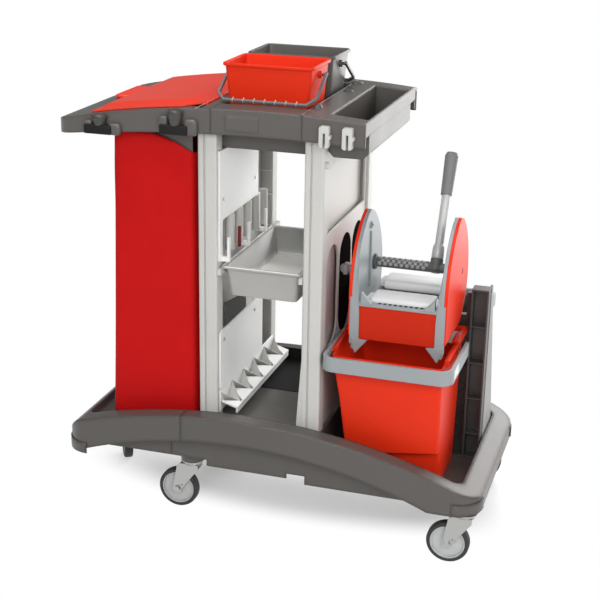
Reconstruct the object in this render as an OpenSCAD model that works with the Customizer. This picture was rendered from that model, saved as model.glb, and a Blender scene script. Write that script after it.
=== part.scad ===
// Janitor cart: moulded base on swivel casters, two upright panels with a sliding shelf tray,
// a bag bay with a hinged lid, a top frame with two small buckets and a trough, and a bucket bay
// with a mop bucket, a slim second bucket, a divider wall and a lever wringer.
// Millimetres, +Z up, floor at z = 0, the long side along X, the near side at -Y.

/* [Base] */
// length of the base moulding
base_length = 998; // [985:1:1010]
// width of the base moulding over the side rails
base_width = 510; // [508:1:530]
// width of a side rail seen from above
rail_width = 40; // [37:1:41]
// height of a side rail at the top of its arch
rail_height = 61; // [57:1:66]
// drop of the arched rail top from its crown to the right end
arch_drop = 113; // [106:1:118]

/* [Casters] */
// diameter of a caster wheel
wheel_d = 98; // [94:1:102]
// width of a caster tyre
wheel_w = 22; // [20:1:25]
// distance from the swivel axis back to the wheel axle
caster_trail = 35; // [33:1:37]

/* [Uprights and shelf] */
// height of an upright panel between the base and the top frame
upright_h = 676; // [660:1:700]
// width of an upright post along the cart
post_w = 44; // [40:1:48]
// clear width of the middle bay between the uprights
bay_w = 199; // [196:1:202]
// depth of the shelf tray from its rim to its floor
tray_depth = 70; // [60:1:80]

/* [Top frame] */
// height of the top frame's side faces at the middle
frame_h = 56; // [52:1:60]
// radius of the top frame's arched upper edge
frame_radius = 2300; // [2200:10:2500]
// thickness of the lid over the bag bay
lid_t = 5; // [4:0.5:6]

/* [Buckets] */
// height of the mop bucket to the top of its rim
mop_bucket_h = 329; // [315:1:335]
// height of a small bucket to the top of its rim
small_bucket_h = 178; // [165:1:185]
// wall thickness of all buckets
bucket_wall = 3; // [2.5:0.5:4]

/* [Wringer] */
// height of the wringer frame above the mop bucket rim
wringer_h = 284; // [275:1:295]
// length of the lever from the shaft to its end
lever_length = 270; // [240:1:290]
// lean of the resting lever towards the far side, in degrees
lever_lean = 27; // [20:1:32]

/* [Fits] */
// radial clearance of pins that turn in bores
running_fit = 0.05; // [0.02:0.01:0.1]
// gap between pieces that move past each other
free_gap = 0.4; // [0.3:0.1:0.6]

/* [Part] */
// sub-part to draw

/* [Hidden] */
$fn = 64;

// colours
dark_plastic = [0.38, 0.37, 0.35];
light_plastic = [0.80, 0.80, 0.78];
white_plastic = [0.93, 0.93, 0.92];
red_plastic = [0.86, 0.16, 0.10];
blue_grey = [0.62, 0.66, 0.68];
steel = [0.78, 0.78, 0.76];
rubber = [0.14, 0.14, 0.14];

// heights
caster_h = wheel_d + 30;
base_z = caster_h;
low_deck = base_z + 10;
bag_deck = base_z + 77;
mid_deck = base_z + 130;
rail_top = base_z + 152;
frame_z = mid_deck + upright_h;
frame_top = frame_z + frame_h;

// plan positions
end_inset = 50;
bumper_t = 3;
x_left = -base_length/2;
x_right = base_length/2;
half_w = base_width/2;
end_rail_w = 46;
inner_l = base_length - 2*end_rail_w;
inner_w = base_width - 2*rail_width;
corner_r = 60;
inner_r = 24;
rail_wall = 5;
deck_t = 8;
skirt_t = 5;
skirt_top = rail_top - rail_height + 6;
arch_x = -61;
arch_run = x_right - arch_x;
arch_radius = (arch_run*arch_run + arch_drop*arch_drop)/(2*arch_drop);
under_radius = 0.79*arch_radius;
joint_gap = 0.6;
// rounded nose of the rails at the left end, a little proud of a smooth run into the arch
nose_r = 82;
nose_past = 3;
nose_x = x_left + nose_r - nose_past;
nose_lift = 2;
nose_z = rail_top - arch_radius + sqrt(pow(arch_radius - nose_r, 2) - pow(nose_x - arch_x, 2)) + nose_lift;
nose_end = arch_x + (nose_x - arch_x)*arch_radius/(arch_radius - nose_r);

// middle bay
bay_x = -23.5;
post_d = 40;
post_wall = 5;
web_t = 5;
post_y = inner_w/2 - post_d/2 - 2;
left_in = bay_x - bay_w/2;
right_in = bay_x + bay_w/2;
left_out = left_in - post_w;
right_out = right_in + post_w;
rail_joint = left_out - 31;
skirt_joint = rail_joint - 40;
bag_riser = left_out - 4;
bucket_riser = right_out + 3;

// casters: right near, right far, left near, left far, left end
swivel_x = x_right - 33;
swivel_y = half_w - 36;
joint_swivel_x = rail_joint - 4;
joint_swivel_y = inner_w/2 - 44;
caster_at = [[swivel_x, -swivel_y], [swivel_x, swivel_y], [joint_swivel_x, -joint_swivel_y],
    [joint_swivel_x, joint_swivel_y], [x_left + end_inset, 0]];
caster_turn = [0, 0, 0, 180, -60];
head_r = 23;
head_t = 10;
king_r = 6;
axle_r = 5;
fork_gap = wheel_w + 6;
fork_t = 2.5;
fork_top = base_z - head_t;

// top frame
frame_x = -9;
frame_under = frame_radius + 1800;
frame_half = half_w - 22;
frame_wall = 5;
frame_joint_l = left_in - 6;
frame_joint_r = right_in - 2;
frame_end = right_out + 92;
loop_in_x = x_left + 90;
loop_bar = 32;
loop_half = frame_half - 33;
hinge_x = frame_joint_l - 34;
pin_r = 3;
knuckle_r = 6;

// well of the middle section
well_x0 = left_in - 1;
well_x1 = right_in - 6;
well_y = frame_half - 45;
well_z = frame_z - 42;
well_wall = 3;
well_half = post_y - post_d/2 - well_wall - 1;

// small buckets
small_l = bay_w + 9;
small_w = well_y - 40;
small_x = bay_x - 7.5;
small_near_y = -small_w/2 - 3;
small_far_y = small_w/2 + 12;
small_z = well_z + well_wall + free_gap;
small_rim = small_z + small_bucket_h;
bail_pin_r = 3;
bail_r = 4;

// shelf tray
tray_half = bay_w/2 - 4;
tray_y0 = -post_y - 10;
tray_y1 = post_y - 36;
tray_rim = mid_deck + 370;
tray_lip = 4;
tray_rim_w = 9;
tray_slope = 9;
runner_h = 14;

// bucket bay
bay_right = x_right - end_rail_w;
mop_l = 268;
mop_w = 256;
mop_x = bucket_riser + 16 + mop_l/2;
mop_y = -half_w + 47 + mop_w/2;
mop_foot_l = mop_l - 56;
mop_foot_w = mop_w - 60;
mop_z = low_deck + free_gap;
mop_rim = mop_z + mop_bucket_h;
rim_w = 13;
pivot_r = 5;
handle_t = 8;
handle_h = 33;
handle_pivot_y = mop_y + 40;
handle_pivot_z = mop_rim - 32;
handle_half = mop_l/2 + 5;
handle_front = mop_y - mop_w/2 - 26;
divider_y = mop_y + mop_w/2 + 12;
divider_t = 5;
divider_x0 = bucket_riser + 6;
divider_x1 = bay_right - 4;
divider_top = low_deck + 408;
channel_w = 40;
channel_d = 30;

// slim bucket
slim_l = mop_l - 22;
slim_w = half_w - 22 - (divider_y + divider_t + 20);
slim_foot_w = slim_w - 60;
slim_x = mop_x + 9;
slim_y = divider_y + divider_t + 20 + slim_w/2;
slim_z = low_deck + free_gap;
slim_rim = slim_z + 342;
slim_pivot_z = slim_rim - 8;
slim_half = slim_l/2 + 24;

// wringer
shield_half = 120;
shield_y = mop_y + 38;
shield_z = mop_rim + 118;
shield_in = 95;
shield_t = 8;
cover_t = 7;
shield_base = mop_rim + 22;
shield_top = mop_rim + wringer_h;
tip_r = 24;
ogive_rise = shield_top - shield_z;
ogive_r = (shield_half*shield_half + ogive_rise*ogive_rise)/(2*shield_half);
shaft_r = 13;
shaft_pin_r = 6;
shaft_y = shield_y + 44;
shaft_z = mop_rim + 146;
wring_x = mop_x + 6;
lever_x = wring_x + 49;
tray_z = mop_rim + 74;
tray_t = 6;
press_l = 170;
press_w = 76;
press_t = 22;
press_z = tray_z + tray_t;
press_front_y = shield_y - 58;
press_rear_y = shield_y + 72;

// extrusions along the three axes and a box between two corners
module along_z(z0, z1) {
    translate([0, 0, z0]) linear_extrude(z1 - z0) children();
}
module along_y(y0, y1) {
    translate([0, y1, 0]) rotate([90, 0, 0]) linear_extrude(y1 - y0) children();
}
module along_x(x0, x1) {
    translate([x0, 0, 0]) rotate([90, 0, 90]) linear_extrude(x1 - x0) children();
}
module block(a, b) {
    translate(a) cube(b - a);
}
module rod_x(x0, x1, y, z, r) {
    translate([x0, y, z]) rotate([0, 90, 0]) cylinder(h = x1 - x0, r = r);
}
module rod_y(y0, y1, x, z, r) {
    translate([x, y0, z]) rotate([-90, 0, 0]) cylinder(h = y1 - y0, r = r);
}
// rectangle with rounded corners about the origin
module rounded_rect(l, w, r) {
    square([l - 2*r, w], center = true);
    square([l, w - 2*r], center = true);
    for (sx = [-1, 1]) {
        for (sy = [-1, 1]) {
            translate([sx*(l/2 - r), sy*(w/2 - r)]) circle(r);
        }
    }
}
// slot with round ends, upright
module stadium(w, h) {
    square([w, h - w], center = true);
    for (s = [-1, 1]) {
        translate([0, s*(h - w)/2]) circle(w/2);
    }
}

// big disc whose top touches a height, for the arched edges
module arch(cx, radius, top) {
    translate([cx, top - radius]) circle(radius, $fn = 360);
}
// arched upper edge with the rounded nose at the left end
module rail_outline(inset) {
    intersection() {
        arch(arch_x, arch_radius - inset, rail_top - inset);
        union() {
            translate([nose_x, nose_z]) circle(nose_r - inset);
            translate([nose_end, 0]) square([base_length, 2*rail_top]);
            translate([x_left - nose_r, 0]) square([2*nose_r - nose_past, nose_z]);
        }
    }
}
// side view of the rails: a band between two arcs with level ends
module rail_profile() {
    difference() {
        intersection() {
            rail_outline(0);
            translate([x_left - 1, base_z]) square([base_length + 2, 260]);
        }
        arch(arch_x, under_radius, rail_top - rail_height);
    }
}
module rail_ring(wall) {
    difference() {
        rounded_rect(base_length - 2*wall, base_width - 2*wall, corner_r - wall);
        rounded_rect(inner_l + 2*wall, inner_w + 2*wall, inner_r + wall);
    }
}
// hollow rails, open below
module rails() {
    difference() {
        intersection() {
            along_z(base_z - 1, rail_top + 1) rail_ring(0);
            along_y(-base_width, base_width) rail_profile();
        }
        intersection() {
            along_z(base_z - 2, rail_top) rail_ring(rail_wall);
            along_y(-base_width, base_width) rail_outline(rail_wall);
        }
    }
}
// side walls under the rails with a stepped lower edge
module skirt(x0, x1) {
    for (s = [-1, 1]) {
        along_y(s*(inner_w/2 - skirt_t/2) - skirt_t/2, s*(inner_w/2 - skirt_t/2) + skirt_t/2)
        intersection() {
            arch(arch_x, arch_radius - 6, rail_top - 6);
            difference() {
                translate([x0, base_z]) square([x1 - x0, skirt_top - base_z]);
                translate([x0 - 1, base_z - 1]) square([left_out + 18 - x0, 25]);
                translate([x0 - 1, base_z - 1]) square([right_in - 27 - x0, 10]);
                translate([right_in - 30, base_z - 1]) square([44, 22]);
            }
        }
    }
}
// bosses the casters bolt to
module caster_boss(i, top) {
    translate([caster_at[i][0], caster_at[i][1], base_z]) cylinder(h = top - base_z, r = 28);
}
module main_side() {
    translate([rail_joint, -base_width, 0]) cube([base_length, 2*base_width, 2*rail_top]);
}

module base_main() {
    color(dark_plastic) difference() {
        union() {
            intersection() {
                rails();
                main_side();
            }
            skirt(skirt_joint, bay_right + 2);
            block([bucket_riser, -inner_w/2 + 1, low_deck - deck_t], [bay_right + 2, inner_w/2 - 1, low_deck]);
            block([bag_riser, -inner_w/2 + 1, mid_deck - deck_t], [bucket_riser, inner_w/2 - 1, mid_deck]);
            block([skirt_joint, -inner_w/2 + 1, bag_deck - deck_t], [bag_riser, inner_w/2 - 1, bag_deck]);
            block([bucket_riser - skirt_t, -inner_w/2 + 1, low_deck - deck_t], [bucket_riser, inner_w/2 - 1, mid_deck]);
            block([bag_riser, -inner_w/2 + 1, bag_deck - deck_t], [bag_riser + skirt_t, inner_w/2 - 1, mid_deck]);
            caster_boss(2, bag_deck);
            caster_boss(3, bag_deck);
            intersection() {
                union() {
                    caster_boss(0, low_deck + 20);
                    caster_boss(1, low_deck + 20);
                }
                along_z(0, rail_top) rounded_rect(base_length - 2, base_width - 2, corner_r - 1);
            }
        }
        for (i = [0:3]) {
            king_bore(i);
        }
    }
}

module base_extension() {
    color(dark_plastic) difference() {
        union() {
            difference() {
                rails();
                translate([-joint_gap, 0, 0]) main_side();
            }
            skirt(x_left + end_rail_w - 2, skirt_joint - joint_gap);
            block([x_left + end_rail_w - 2, -inner_w/2 + 1, bag_deck - deck_t],
                [skirt_joint - joint_gap, inner_w/2 - 1, bag_deck]);
            caster_boss(4, bag_deck - 10);
        }
        king_bore(4);
    }
}

// blind hole above a caster for the end of its king pin
module king_bore(i) {
    translate([caster_at[i][0], caster_at[i][1], base_z - 1]) cylinder(h = 5, r = king_r + 2);
}

// quarter bands that wrap around the four corners
bumper_h = 26;
module corner_bumpers() {
    color(dark_plastic) for (sx = [-1, 1]) {
        for (sy = [-1, 1]) {
            translate([sx*(base_length/2 - corner_r), sy*(half_w - corner_r), base_z + (sx < 0 ? 14 : 4)])
                intersection() {
                    difference() {
                        cylinder(h = bumper_h, r = corner_r + bumper_t);
                        translate([0, 0, -1]) cylinder(h = bumper_h + 2, r = corner_r);
                    }
                    translate([sx < 0 ? -2*corner_r : 0, sy < 0 ? -2*corner_r : 0, 0])
                        cube([2*corner_r, 2*corner_r, bumper_h]);
                }
        }
    }
}

// caster parts around a swivel axis at the origin, wheel trailing to -X
module at_caster(i) {
    translate([caster_at[i][0], caster_at[i][1], 0]) rotate([0, 0, caster_turn[i]]) children();
}
module caster_heads() {
    color(steel) for (i = [0:4]) {
        at_caster(i) difference() {
            union() {
                translate([0, 0, base_z - 3]) cylinder(h = 3, r = 27);
                translate([0, 0, fork_top + free_gap]) cylinder(h = head_t - 2 - free_gap, r = head_r - 4);
                translate([0, 0, fork_top + 3]) rotate_extrude() translate([head_r - 3, 0]) circle(2.5);
            }
            translate([0, 0, fork_top - 1]) cylinder(h = head_t + 2, r = king_r + running_fit);
        }
    }
}
module fork_cheek() {
    difference() {
        union() {
            translate([-caster_trail, wheel_d/2]) circle(11);
            polygon([[-caster_trail - 10.5, wheel_d/2 + 3], [-caster_trail + 4, wheel_d/2 - 10.2],
                [-caster_trail + 10.9, wheel_d/2 + 1], [head_r - 5, fork_top - 12], [head_r - 5, fork_top],
                [-caster_trail + 8, fork_top], [-caster_trail, fork_top - 6]]);
        }
        translate([-caster_trail, wheel_d/2]) circle(axle_r + running_fit);
        translate([-caster_trail + 12, wheel_d/2 + 12]) circle(2);
    }
}
module fork(i) {
    color(steel) at_caster(i) {
        for (s = [-1, 1]) {
            along_y(s*(fork_gap/2 + fork_t/2) - fork_t/2, s*(fork_gap/2 + fork_t/2) + fork_t/2) fork_cheek();
        }
        translate([0, 0, fork_top - 2.5]) cylinder(h = 2.5, r = head_r - 2);
        block([-caster_trail + 8, -fork_gap/2 - fork_t, fork_top - 2.5], [head_r - 5, fork_gap/2 + fork_t, fork_top]);
        translate([0, 0, fork_top - 2.5]) cylinder(h = head_t + 5, r = king_r);
    }
}
module fork_1() { fork(0); }
module fork_2() { fork(1); }
module fork_3() { fork(2); }
module fork_4() { fork(3); }
module fork_5() { fork(4); }

// wheel core: hub, thin disc and raised rim ring
tyre_t = 9;
core_r = wheel_d/2 - tyre_t;
module at_axle(i) {
    at_caster(i) translate([-caster_trail, 0, wheel_d/2]) rotate([90, 0, 0]) children();
}
module wheel(i) {
    color(blue_grey) at_axle(i) rotate_extrude() difference() {
        translate([0, -wheel_w/2 + 1]) square([core_r, wheel_w - 2]);
        translate([-1, -wheel_w]) square([axle_r + running_fit + 1, 2*wheel_w]);
        for (s = [-1, 1]) {
            translate([12, s*(wheel_w/2 - 4) - 3]) square([core_r - 15, 6]);
        }
    }
}
module wheel_1() { wheel(0); }
module wheel_2() { wheel(1); }
module wheel_3() { wheel(2); }
module wheel_4() { wheel(3); }
module wheel_5() { wheel(4); }

module tyre(i) {
    color(rubber) at_axle(i) rotate_extrude() intersection() {
        translate([core_r, -wheel_w/2]) square([tyre_t, wheel_w]);
        union() {
            translate([0, -wheel_w/2 + 5]) square([core_r + tyre_t, wheel_w - 10]);
            translate([0, -wheel_w/2]) square([core_r + tyre_t - 5, wheel_w]);
            for (s = [-1, 1]) {
                translate([core_r + tyre_t - 5, s*(wheel_w/2 - 5)]) circle(5);
            }
        }
    }
}
module tyre_1() { tyre(0); }
module tyre_2() { tyre(1); }
module tyre_3() { tyre(2); }
module tyre_4() { tyre(3); }
module tyre_5() { tyre(4); }

module axle(i) {
    color(steel) at_axle(i) {
        cylinder(h = fork_gap + 2*fork_t, r = axle_r, center = true);
        for (s = [-1, 1]) {
            translate([0, 0, s*(fork_gap/2 + fork_t + 2.5)]) cylinder(h = 5, r = 8, $fn = 6, center = true);
        }
    }
}
module axle_1() { axle(0); }
module axle_2() { axle(1); }
module axle_3() { axle(2); }
module axle_4() { axle(3); }
module axle_5() { axle(4); }

// plan of a post: two lobes to the near or far side with a groove between them
module post_plan() {
    difference() {
        rounded_rect(post_w, post_d, 5);
        translate([-post_w/2 + 14, -post_d/2 - 1]) square([4, 4]);
        translate([0, 2]) square([post_w - 2*post_wall, post_d - 2*post_wall - 4], center = true);
    }
}
module posts(cx) {
    intersection() {
        along_z(mid_deck, frame_top) {
            translate([cx, -post_y]) post_plan();
            translate([cx, post_y]) mirror([0, 1]) post_plan();
        }
        along_y(-half_w, half_w) arch(frame_x, frame_under, frame_z);
    }
}
// blocks of the top frame that sit on the posts
module post_seats(x0, x1) {
    for (s = [-1, 1]) {
        along_y(s*post_y - post_d/2, s*post_y + post_d/2) intersection() {
            frame_profile(0);
            translate([x0, frame_z - 120]) square([x1 - x0, 240]);
        }
    }
}
web_half = post_y - post_d/2 + 2;
module upright_left() {
    color(light_plastic) {
        posts((left_in + left_out)/2);
        block([left_out + 11, -web_half, mid_deck], [left_out + 11 + web_t, web_half, frame_z - 14]);
    }
}
window_w = 98;
window_pitch = 107;
window_h = 236;
module upright_right() {
    color(light_plastic) difference() {
        union() {
            posts((right_in + right_out)/2);
            block([right_out - 24, -web_half, mid_deck], [right_out - 24 + web_t, web_half, frame_z - 14]);
            block([right_out - 6 - web_t, -web_half, mid_deck], [right_out - 6, web_half, frame_z - 14]);
            for (s = [-1, 1]) {
                along_y(s*post_y - post_d/2 + 1, s*post_y + post_d/2 - 1)
                    polygon([[right_in + 2, mid_deck], [right_in - 10, mid_deck], [right_in - 8, mid_deck + 40],
                        [right_in + 2, mid_deck + 190]]);
            }
        }
        block([right_out - 12, -web_half + 14, mid_deck + 454], [right_out, web_half - 14, frame_z - 70]);
        for (k = [-1:1]) {
            along_x(right_out - 15, right_out + 1)
                translate([k*window_pitch, mid_deck + 299]) stadium(window_w, window_h);
        }
    }
}
// ledges on the post faces that carry the tray rim
module shelf_runners() {
    color(light_plastic) for (s = [-1, 1]) {
        x0 = s < 0 ? left_in : right_in - 9;
        block([x0, -post_y - 19, tray_rim - tray_lip - free_gap - runner_h],
            [x0 + 9, post_y + 19, tray_rim - tray_lip - free_gap]);
    }
}
// pan with sloping walls and a flat lip
module shelf_tray() {
    yc = (tray_y0 + tray_y1)/2;
    ly = tray_y1 - tray_y0;
    color(light_plastic) translate([bay_x, yc, 0]) difference() {
        union() {
            along_z(tray_rim - tray_lip, tray_rim) rounded_rect(2*tray_half, ly, 8);
            hull() {
                along_z(tray_rim - tray_lip - 1, tray_rim - tray_lip)
                    rounded_rect(2*tray_half - 2*tray_rim_w, ly - 2*tray_rim_w, 10, $fn = 32);
                along_z(tray_rim - tray_depth, tray_rim - tray_depth + 1)
                    rounded_rect(2*tray_half - 2*tray_rim_w - 2*tray_slope, ly - 2*tray_rim_w - 2*tray_slope, 10, $fn = 32);
            }
        }
        hull() {
            along_z(tray_rim, tray_rim + 1)
                rounded_rect(2*tray_half - 2*tray_rim_w - 6, ly - 2*tray_rim_w - 6, 8, $fn = 32);
            along_z(tray_rim - tray_depth + 4, tray_rim - tray_depth + 5)
                rounded_rect(2*tray_half - 2*tray_rim_w - 2*tray_slope - 6, ly - 2*tray_rim_w - 2*tray_slope - 6, 8, $fn = 32);
        }
    }
}
// plate with three hooked prongs on the left upright
holder_t = 5;
holder_near = -post_y - 10;
upper_far = post_y - 141;
lower_far = post_y - 103;
rack_far = post_y - 13;
rack_h = 52;
rack_w = 46;
rack_step = (rack_far - holder_near - 5)/5;
prong_at = [holder_near + 7, (holder_near + upper_far)/2 + 12, upper_far + 6];
module tool_holder_upper() {
    z0 = tray_rim + 104;
    z1 = well_z - 3;
    color(white_plastic) {
        block([left_in, holder_near, z0], [left_in + holder_t, upper_far, z1]);
        for (y = prong_at) {
            block([left_in, y - 9, z0 - 92], [left_in + holder_t, y + 9, z0 + 2]);
            block([left_in, y - 5, z0 - 92], [left_in + 25, y + 5, z0 - 82]);
            block([left_in + 20, y - 5, z0 - 92], [left_in + 25, y + 5, z0 - 36]);
        }
        block([left_out + 16, upper_far - 22, z1 - 60], [left_in + 1, upper_far - 6, z1 - 20]);
    }
}
// plate with a toothed rack along its lower edge
module tool_holder_lower() {
    z0 = mid_deck + 18;
    z1 = mid_deck + 214;
    color(white_plastic) {
        block([left_in, holder_near, z0], [left_in + holder_t, lower_far, z1]);
        block([left_in, holder_near, z0], [left_in + rack_w, rack_far, z0 + 4]);
        block([left_in + rack_w - 4, holder_near, z0], [left_in + rack_w, rack_far, z0 + 14]);
        for (k = [0:5]) {
            y = holder_near + k*rack_step;
            along_y(y, y + 5) polygon([[left_in, z0], [left_in + rack_w, z0], [left_in + rack_w, z0 + 14], [left_in, z0 + rack_h]]);
        }
        block([left_in, lower_far - 5, z0], [left_in + holder_t, rack_far, z0 + rack_h]);
        block([left_out + 16, lower_far - 30, z0 + 80], [left_in + 1, lower_far - 14, z0 + 120]);
    }
}

// side view of the top frame between its two arcs
module frame_profile(shrink) {
    difference() {
        arch(frame_x, frame_radius - shrink, frame_top - shrink);
        arch(frame_x, frame_under, frame_z);
    }
}
// the same with the rounded nose of the left end
loop_nose_r = 26;
loop_nose_x = x_left + loop_nose_r - 2;
loop_nose_z = frame_top - frame_radius + sqrt(pow(frame_radius - loop_nose_r, 2) - pow(loop_nose_x - frame_x, 2)) + 1;
module loop_profile(shrink) {
    intersection() {
        frame_profile(shrink);
        union() {
            translate([loop_nose_x, loop_nose_z]) circle(loop_nose_r - shrink);
            translate([loop_nose_x - 5, frame_z - 140]) square([base_length, 300]);
            translate([x_left - loop_nose_r, frame_z - 140]) square([2*loop_nose_r - 2, loop_nose_z - frame_z + 140]);
        }
    }
}
// one length of the frame: near and far faces with a top skin
module frame_shell(x0, x1) {
    difference() {
        along_y(-frame_half, frame_half) intersection() {
            frame_profile(0);
            translate([x0, frame_z - 120]) square([x1 - x0, 240]);
        }
        along_y(-frame_half + frame_wall, frame_half - frame_wall) intersection() {
            arch(frame_x, frame_radius - frame_wall, frame_top - frame_wall);
            translate([x0 - 1, frame_z - 120]) square([x1 - x0 + 2, 240]);
        }
    }
}
// side view of the space inside the loop's skin, open below
module loop_hollow() {
    intersection() {
        arch(frame_x, frame_radius - frame_wall, frame_top - frame_wall);
        union() {
            translate([loop_nose_x, loop_nose_z]) circle(loop_nose_r - frame_wall);
            translate([loop_nose_x - 5, frame_z - 140]) square([base_length, 300]);
            translate([x_left - loop_nose_r, frame_z - 140]) square([2*loop_nose_r - 2, loop_nose_z - frame_z + 140]);
        }
    }
}
// bag loop: a ring with round left corners
module loop_plan(inset) {
    l = frame_joint_l - joint_gap - x_left;
    translate([x_left + l/2, 0]) difference() {
        union() {
            translate([-12.5, 0]) rounded_rect(l - 25 - 2*inset, 2*frame_half - 2*inset, 45 - inset);
            translate([0, -frame_half + inset]) square([l/2 - inset, 2*frame_half - 2*inset]);
        }
        translate([loop_in_x - x_left - l/2 - inset, -loop_half - inset])
            square([frame_joint_l - joint_gap - loop_bar - loop_in_x + 2*inset, 2*loop_half + 2*inset]);
    }
}
module frame_left() {
    color(dark_plastic) difference() {
        intersection() {
            along_z(frame_z - 120, frame_top + 10) loop_plan(0);
            along_y(-half_w, half_w) loop_profile(0);
        }
        intersection() {
            along_z(frame_z - 140, frame_top) loop_plan(frame_wall);
            along_y(-half_w, half_w) loop_hollow();
        }
        block([hinge_x - knuckle_r - 4, -loop_half - 26, hinge_z - knuckle_r - 2],
            [hinge_x + knuckle_r + 3, loop_half + 26, frame_top + 10]);
        rod_y(-loop_half - 31, loop_half + 31, hinge_x, hinge_z, pin_r);
    }
}
// lid hinge height: the arc of the frame at the hinge
hinge_z = frame_top - frame_radius + sqrt(frame_radius*frame_radius - pow(hinge_x - frame_x, 2)) - 1;
lid_left = x_left + 84;
lid_half = loop_half + 14;
module lid() {
    color(red_plastic) difference() {
        union() {
            along_y(-lid_half, lid_half) intersection() {
                difference() {
                    arch(frame_x, frame_radius + free_gap + lid_t, frame_top + free_gap + lid_t);
                    arch(frame_x, frame_radius + free_gap, frame_top + free_gap);
                }
                translate([lid_left, frame_z - 100]) square([hinge_x - lid_left, 300]);
            }
            rod_y(-lid_half, lid_half, hinge_x, hinge_z, knuckle_r);
            block([hinge_x - 4, -lid_half, hinge_z], [hinge_x, lid_half, hinge_z + free_gap + lid_t]);
            block([lid_left - 14, -60, lid_end_z + 3], [lid_left + 3, 60, lid_end_z + 3 + lid_t]);
        }
        rod_y(-lid_half - 1, lid_half + 1, hinge_x, hinge_z, pin_r + running_fit);
    }
}
lid_end_z = frame_top - frame_radius + sqrt(frame_radius*frame_radius - pow(lid_left - frame_x, 2));
module lid_pin() {
    color(steel) rod_y(-loop_half - 31, loop_half + 31, hinge_x, hinge_z, pin_r);
}
// middle section with a well for the small buckets
module frame_middle() {
    color(dark_plastic) {
        difference() {
            union() {
                frame_shell(frame_joint_l, frame_joint_r);
                post_seats(frame_joint_l, left_in);
                intersection() {
                    block([well_x0 - well_wall, -well_half - well_wall, well_z],
                        [well_x1 + well_wall, well_half + well_wall, frame_top]);
                    along_y(-half_w, half_w) arch(frame_x, frame_radius, frame_top);
                }
            }
            block([well_x0, -well_half, well_z + well_wall], [well_x1, well_half, frame_top + 20]);
        }
        block([frame_joint_l + 34, -frame_half - 2, frame_z + 9], [frame_joint_l + 108, -frame_half + 1, frame_z + 40]);
    }
}
// right section with a trough
trough_x0 = right_out + 6;
trough_x1 = frame_end - 6;
trough_z = frame_z - 34;
trough_y = frame_half - 44;
module trough_side(wall) {
    polygon([[trough_x0 - wall, frame_top + 20], [trough_x0 - wall, trough_z + 12 - wall],
        [trough_x0 + 12 - wall, trough_z - wall], [trough_x1 - 12 + wall, trough_z - wall],
        [trough_x1 + wall, trough_z + 12 - wall], [trough_x1 + wall, frame_top + 20]]);
}
module frame_right() {
    color(dark_plastic) difference() {
        union() {
            frame_shell(frame_joint_r + joint_gap, frame_end);
            post_seats(frame_joint_r + joint_gap, trough_x0 - 8);
            intersection() {
                along_y(-trough_y - 4, trough_y + 4) trough_side(4);
                along_y(-half_w, half_w) intersection() {
                    arch(frame_x, frame_radius, frame_top);
                    translate([0, trough_z - 20]) square([x_right, 200]);
                }
            }
            along_y(-frame_half, frame_half) intersection() {
                frame_profile(0);
                translate([frame_end - 6, frame_top - 40]) square([6, 60]);
            }
        }
        along_y(-trough_y, trough_y) trough_side(0);
    }
}
// near face brackets that hold broom handles
broom_x = [x_left + 120, x_left + 298];
module broom_brackets() {
    color(dark_plastic) for (k = [0, 1]) {
        zc = broom_z(broom_x[k]);
        for (s = [-1, 1]) {
            block([broom_x[k] + s*36 - 7, -half_w + 3, zc - 22], [broom_x[k] + s*36 + 7, -frame_half, zc + 14]);
        }
        block([broom_x[k] - 36, -half_w + 14, zc - 2], [broom_x[k] + 36, -frame_half, zc + 14]);
    }
}
function broom_z(x) = frame_z - frame_under + sqrt(frame_under*frame_under - pow(x - frame_x, 2)) + 22;
module broom_knobs() {
    color(dark_plastic) for (k = [0, 1]) {
        zc = broom_z(broom_x[k]);
        translate([broom_x[k], -half_w + 14, zc + 14]) rotate([90, 0, 0]) cylinder(h = 9, r = 15);
        rod_y(-half_w + 14, -frame_half, broom_x[k], zc + 21, 7);
    }
}
module broom_pads() {
    color(rubber) for (k = [0, 1]) {
        zc = broom_z(broom_x[k]);
        block([broom_x[k] - 29, -half_w + 6, zc - 24], [broom_x[k] + 29, -frame_half, zc - 2]);
    }
}
// forked clips on the near face of the right section
module handle_clips() {
    color(light_plastic) for (x = [frame_joint_r + 52, frame_joint_r + 102]) {
        along_y(-frame_half - 12, -frame_half) difference() {
            union() {
                translate([x, frame_z + 14]) rounded_rect(22, 46, 5);
                translate([x + 8, frame_z + 14]) rounded_rect(13, 9, 3);
            }
            translate([x - 2.5, frame_z - 14]) square([5, 36]);
        }
    }
}

// soft sack, open at the top
bag_x0 = x_left + 107;
bag_x1 = bag_riser - 5;
bag_top = frame_z - 46;
bag_y = loop_half - 4;
bag_t = 2;
module bag_profile(inset) {
    polygon([[bag_x0 - 12 + inset, bag_deck + free_gap + inset], [bag_x1 - inset, bag_deck + free_gap + inset],
        [bag_x1 - inset, bag_top + 2*inset], [bag_x0 + 12 + inset, bag_top + 2*inset]]);
}
module bag() {
    color(red_plastic) difference() {
        along_y(-bag_y, bag_y) bag_profile(0);
        along_y(-bag_y + bag_t, bag_y - bag_t) bag_profile(bag_t);
    }
}
// hooks under the loop that the mouth of the sack is hung on, reaching down inside it
hook_w = 24;
hook_t = 6;
function loop_under(x) = frame_z - frame_under + sqrt(frame_under*frame_under - pow(abs(x - frame_x) + hook_w/2, 2));
module bag_hooks() {
    color(dark_plastic) for (s = [0, 1]) {
        for (x = [bag_x0 + 40, bag_x1 - 24]) {
            mirror([0, s, 0]) {
                block([x - hook_w/2, -bag_y + bag_t, bag_top - 24], [x + hook_w/2, -bag_y + bag_t + hook_t, bag_top + 12]);
                block([x - hook_w/2, -loop_half - 3, bag_top + 4],
                    [x + hook_w/2, -bag_y + bag_t + hook_t, loop_under(x) + 3]);
            }
        }
    }
}

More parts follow.
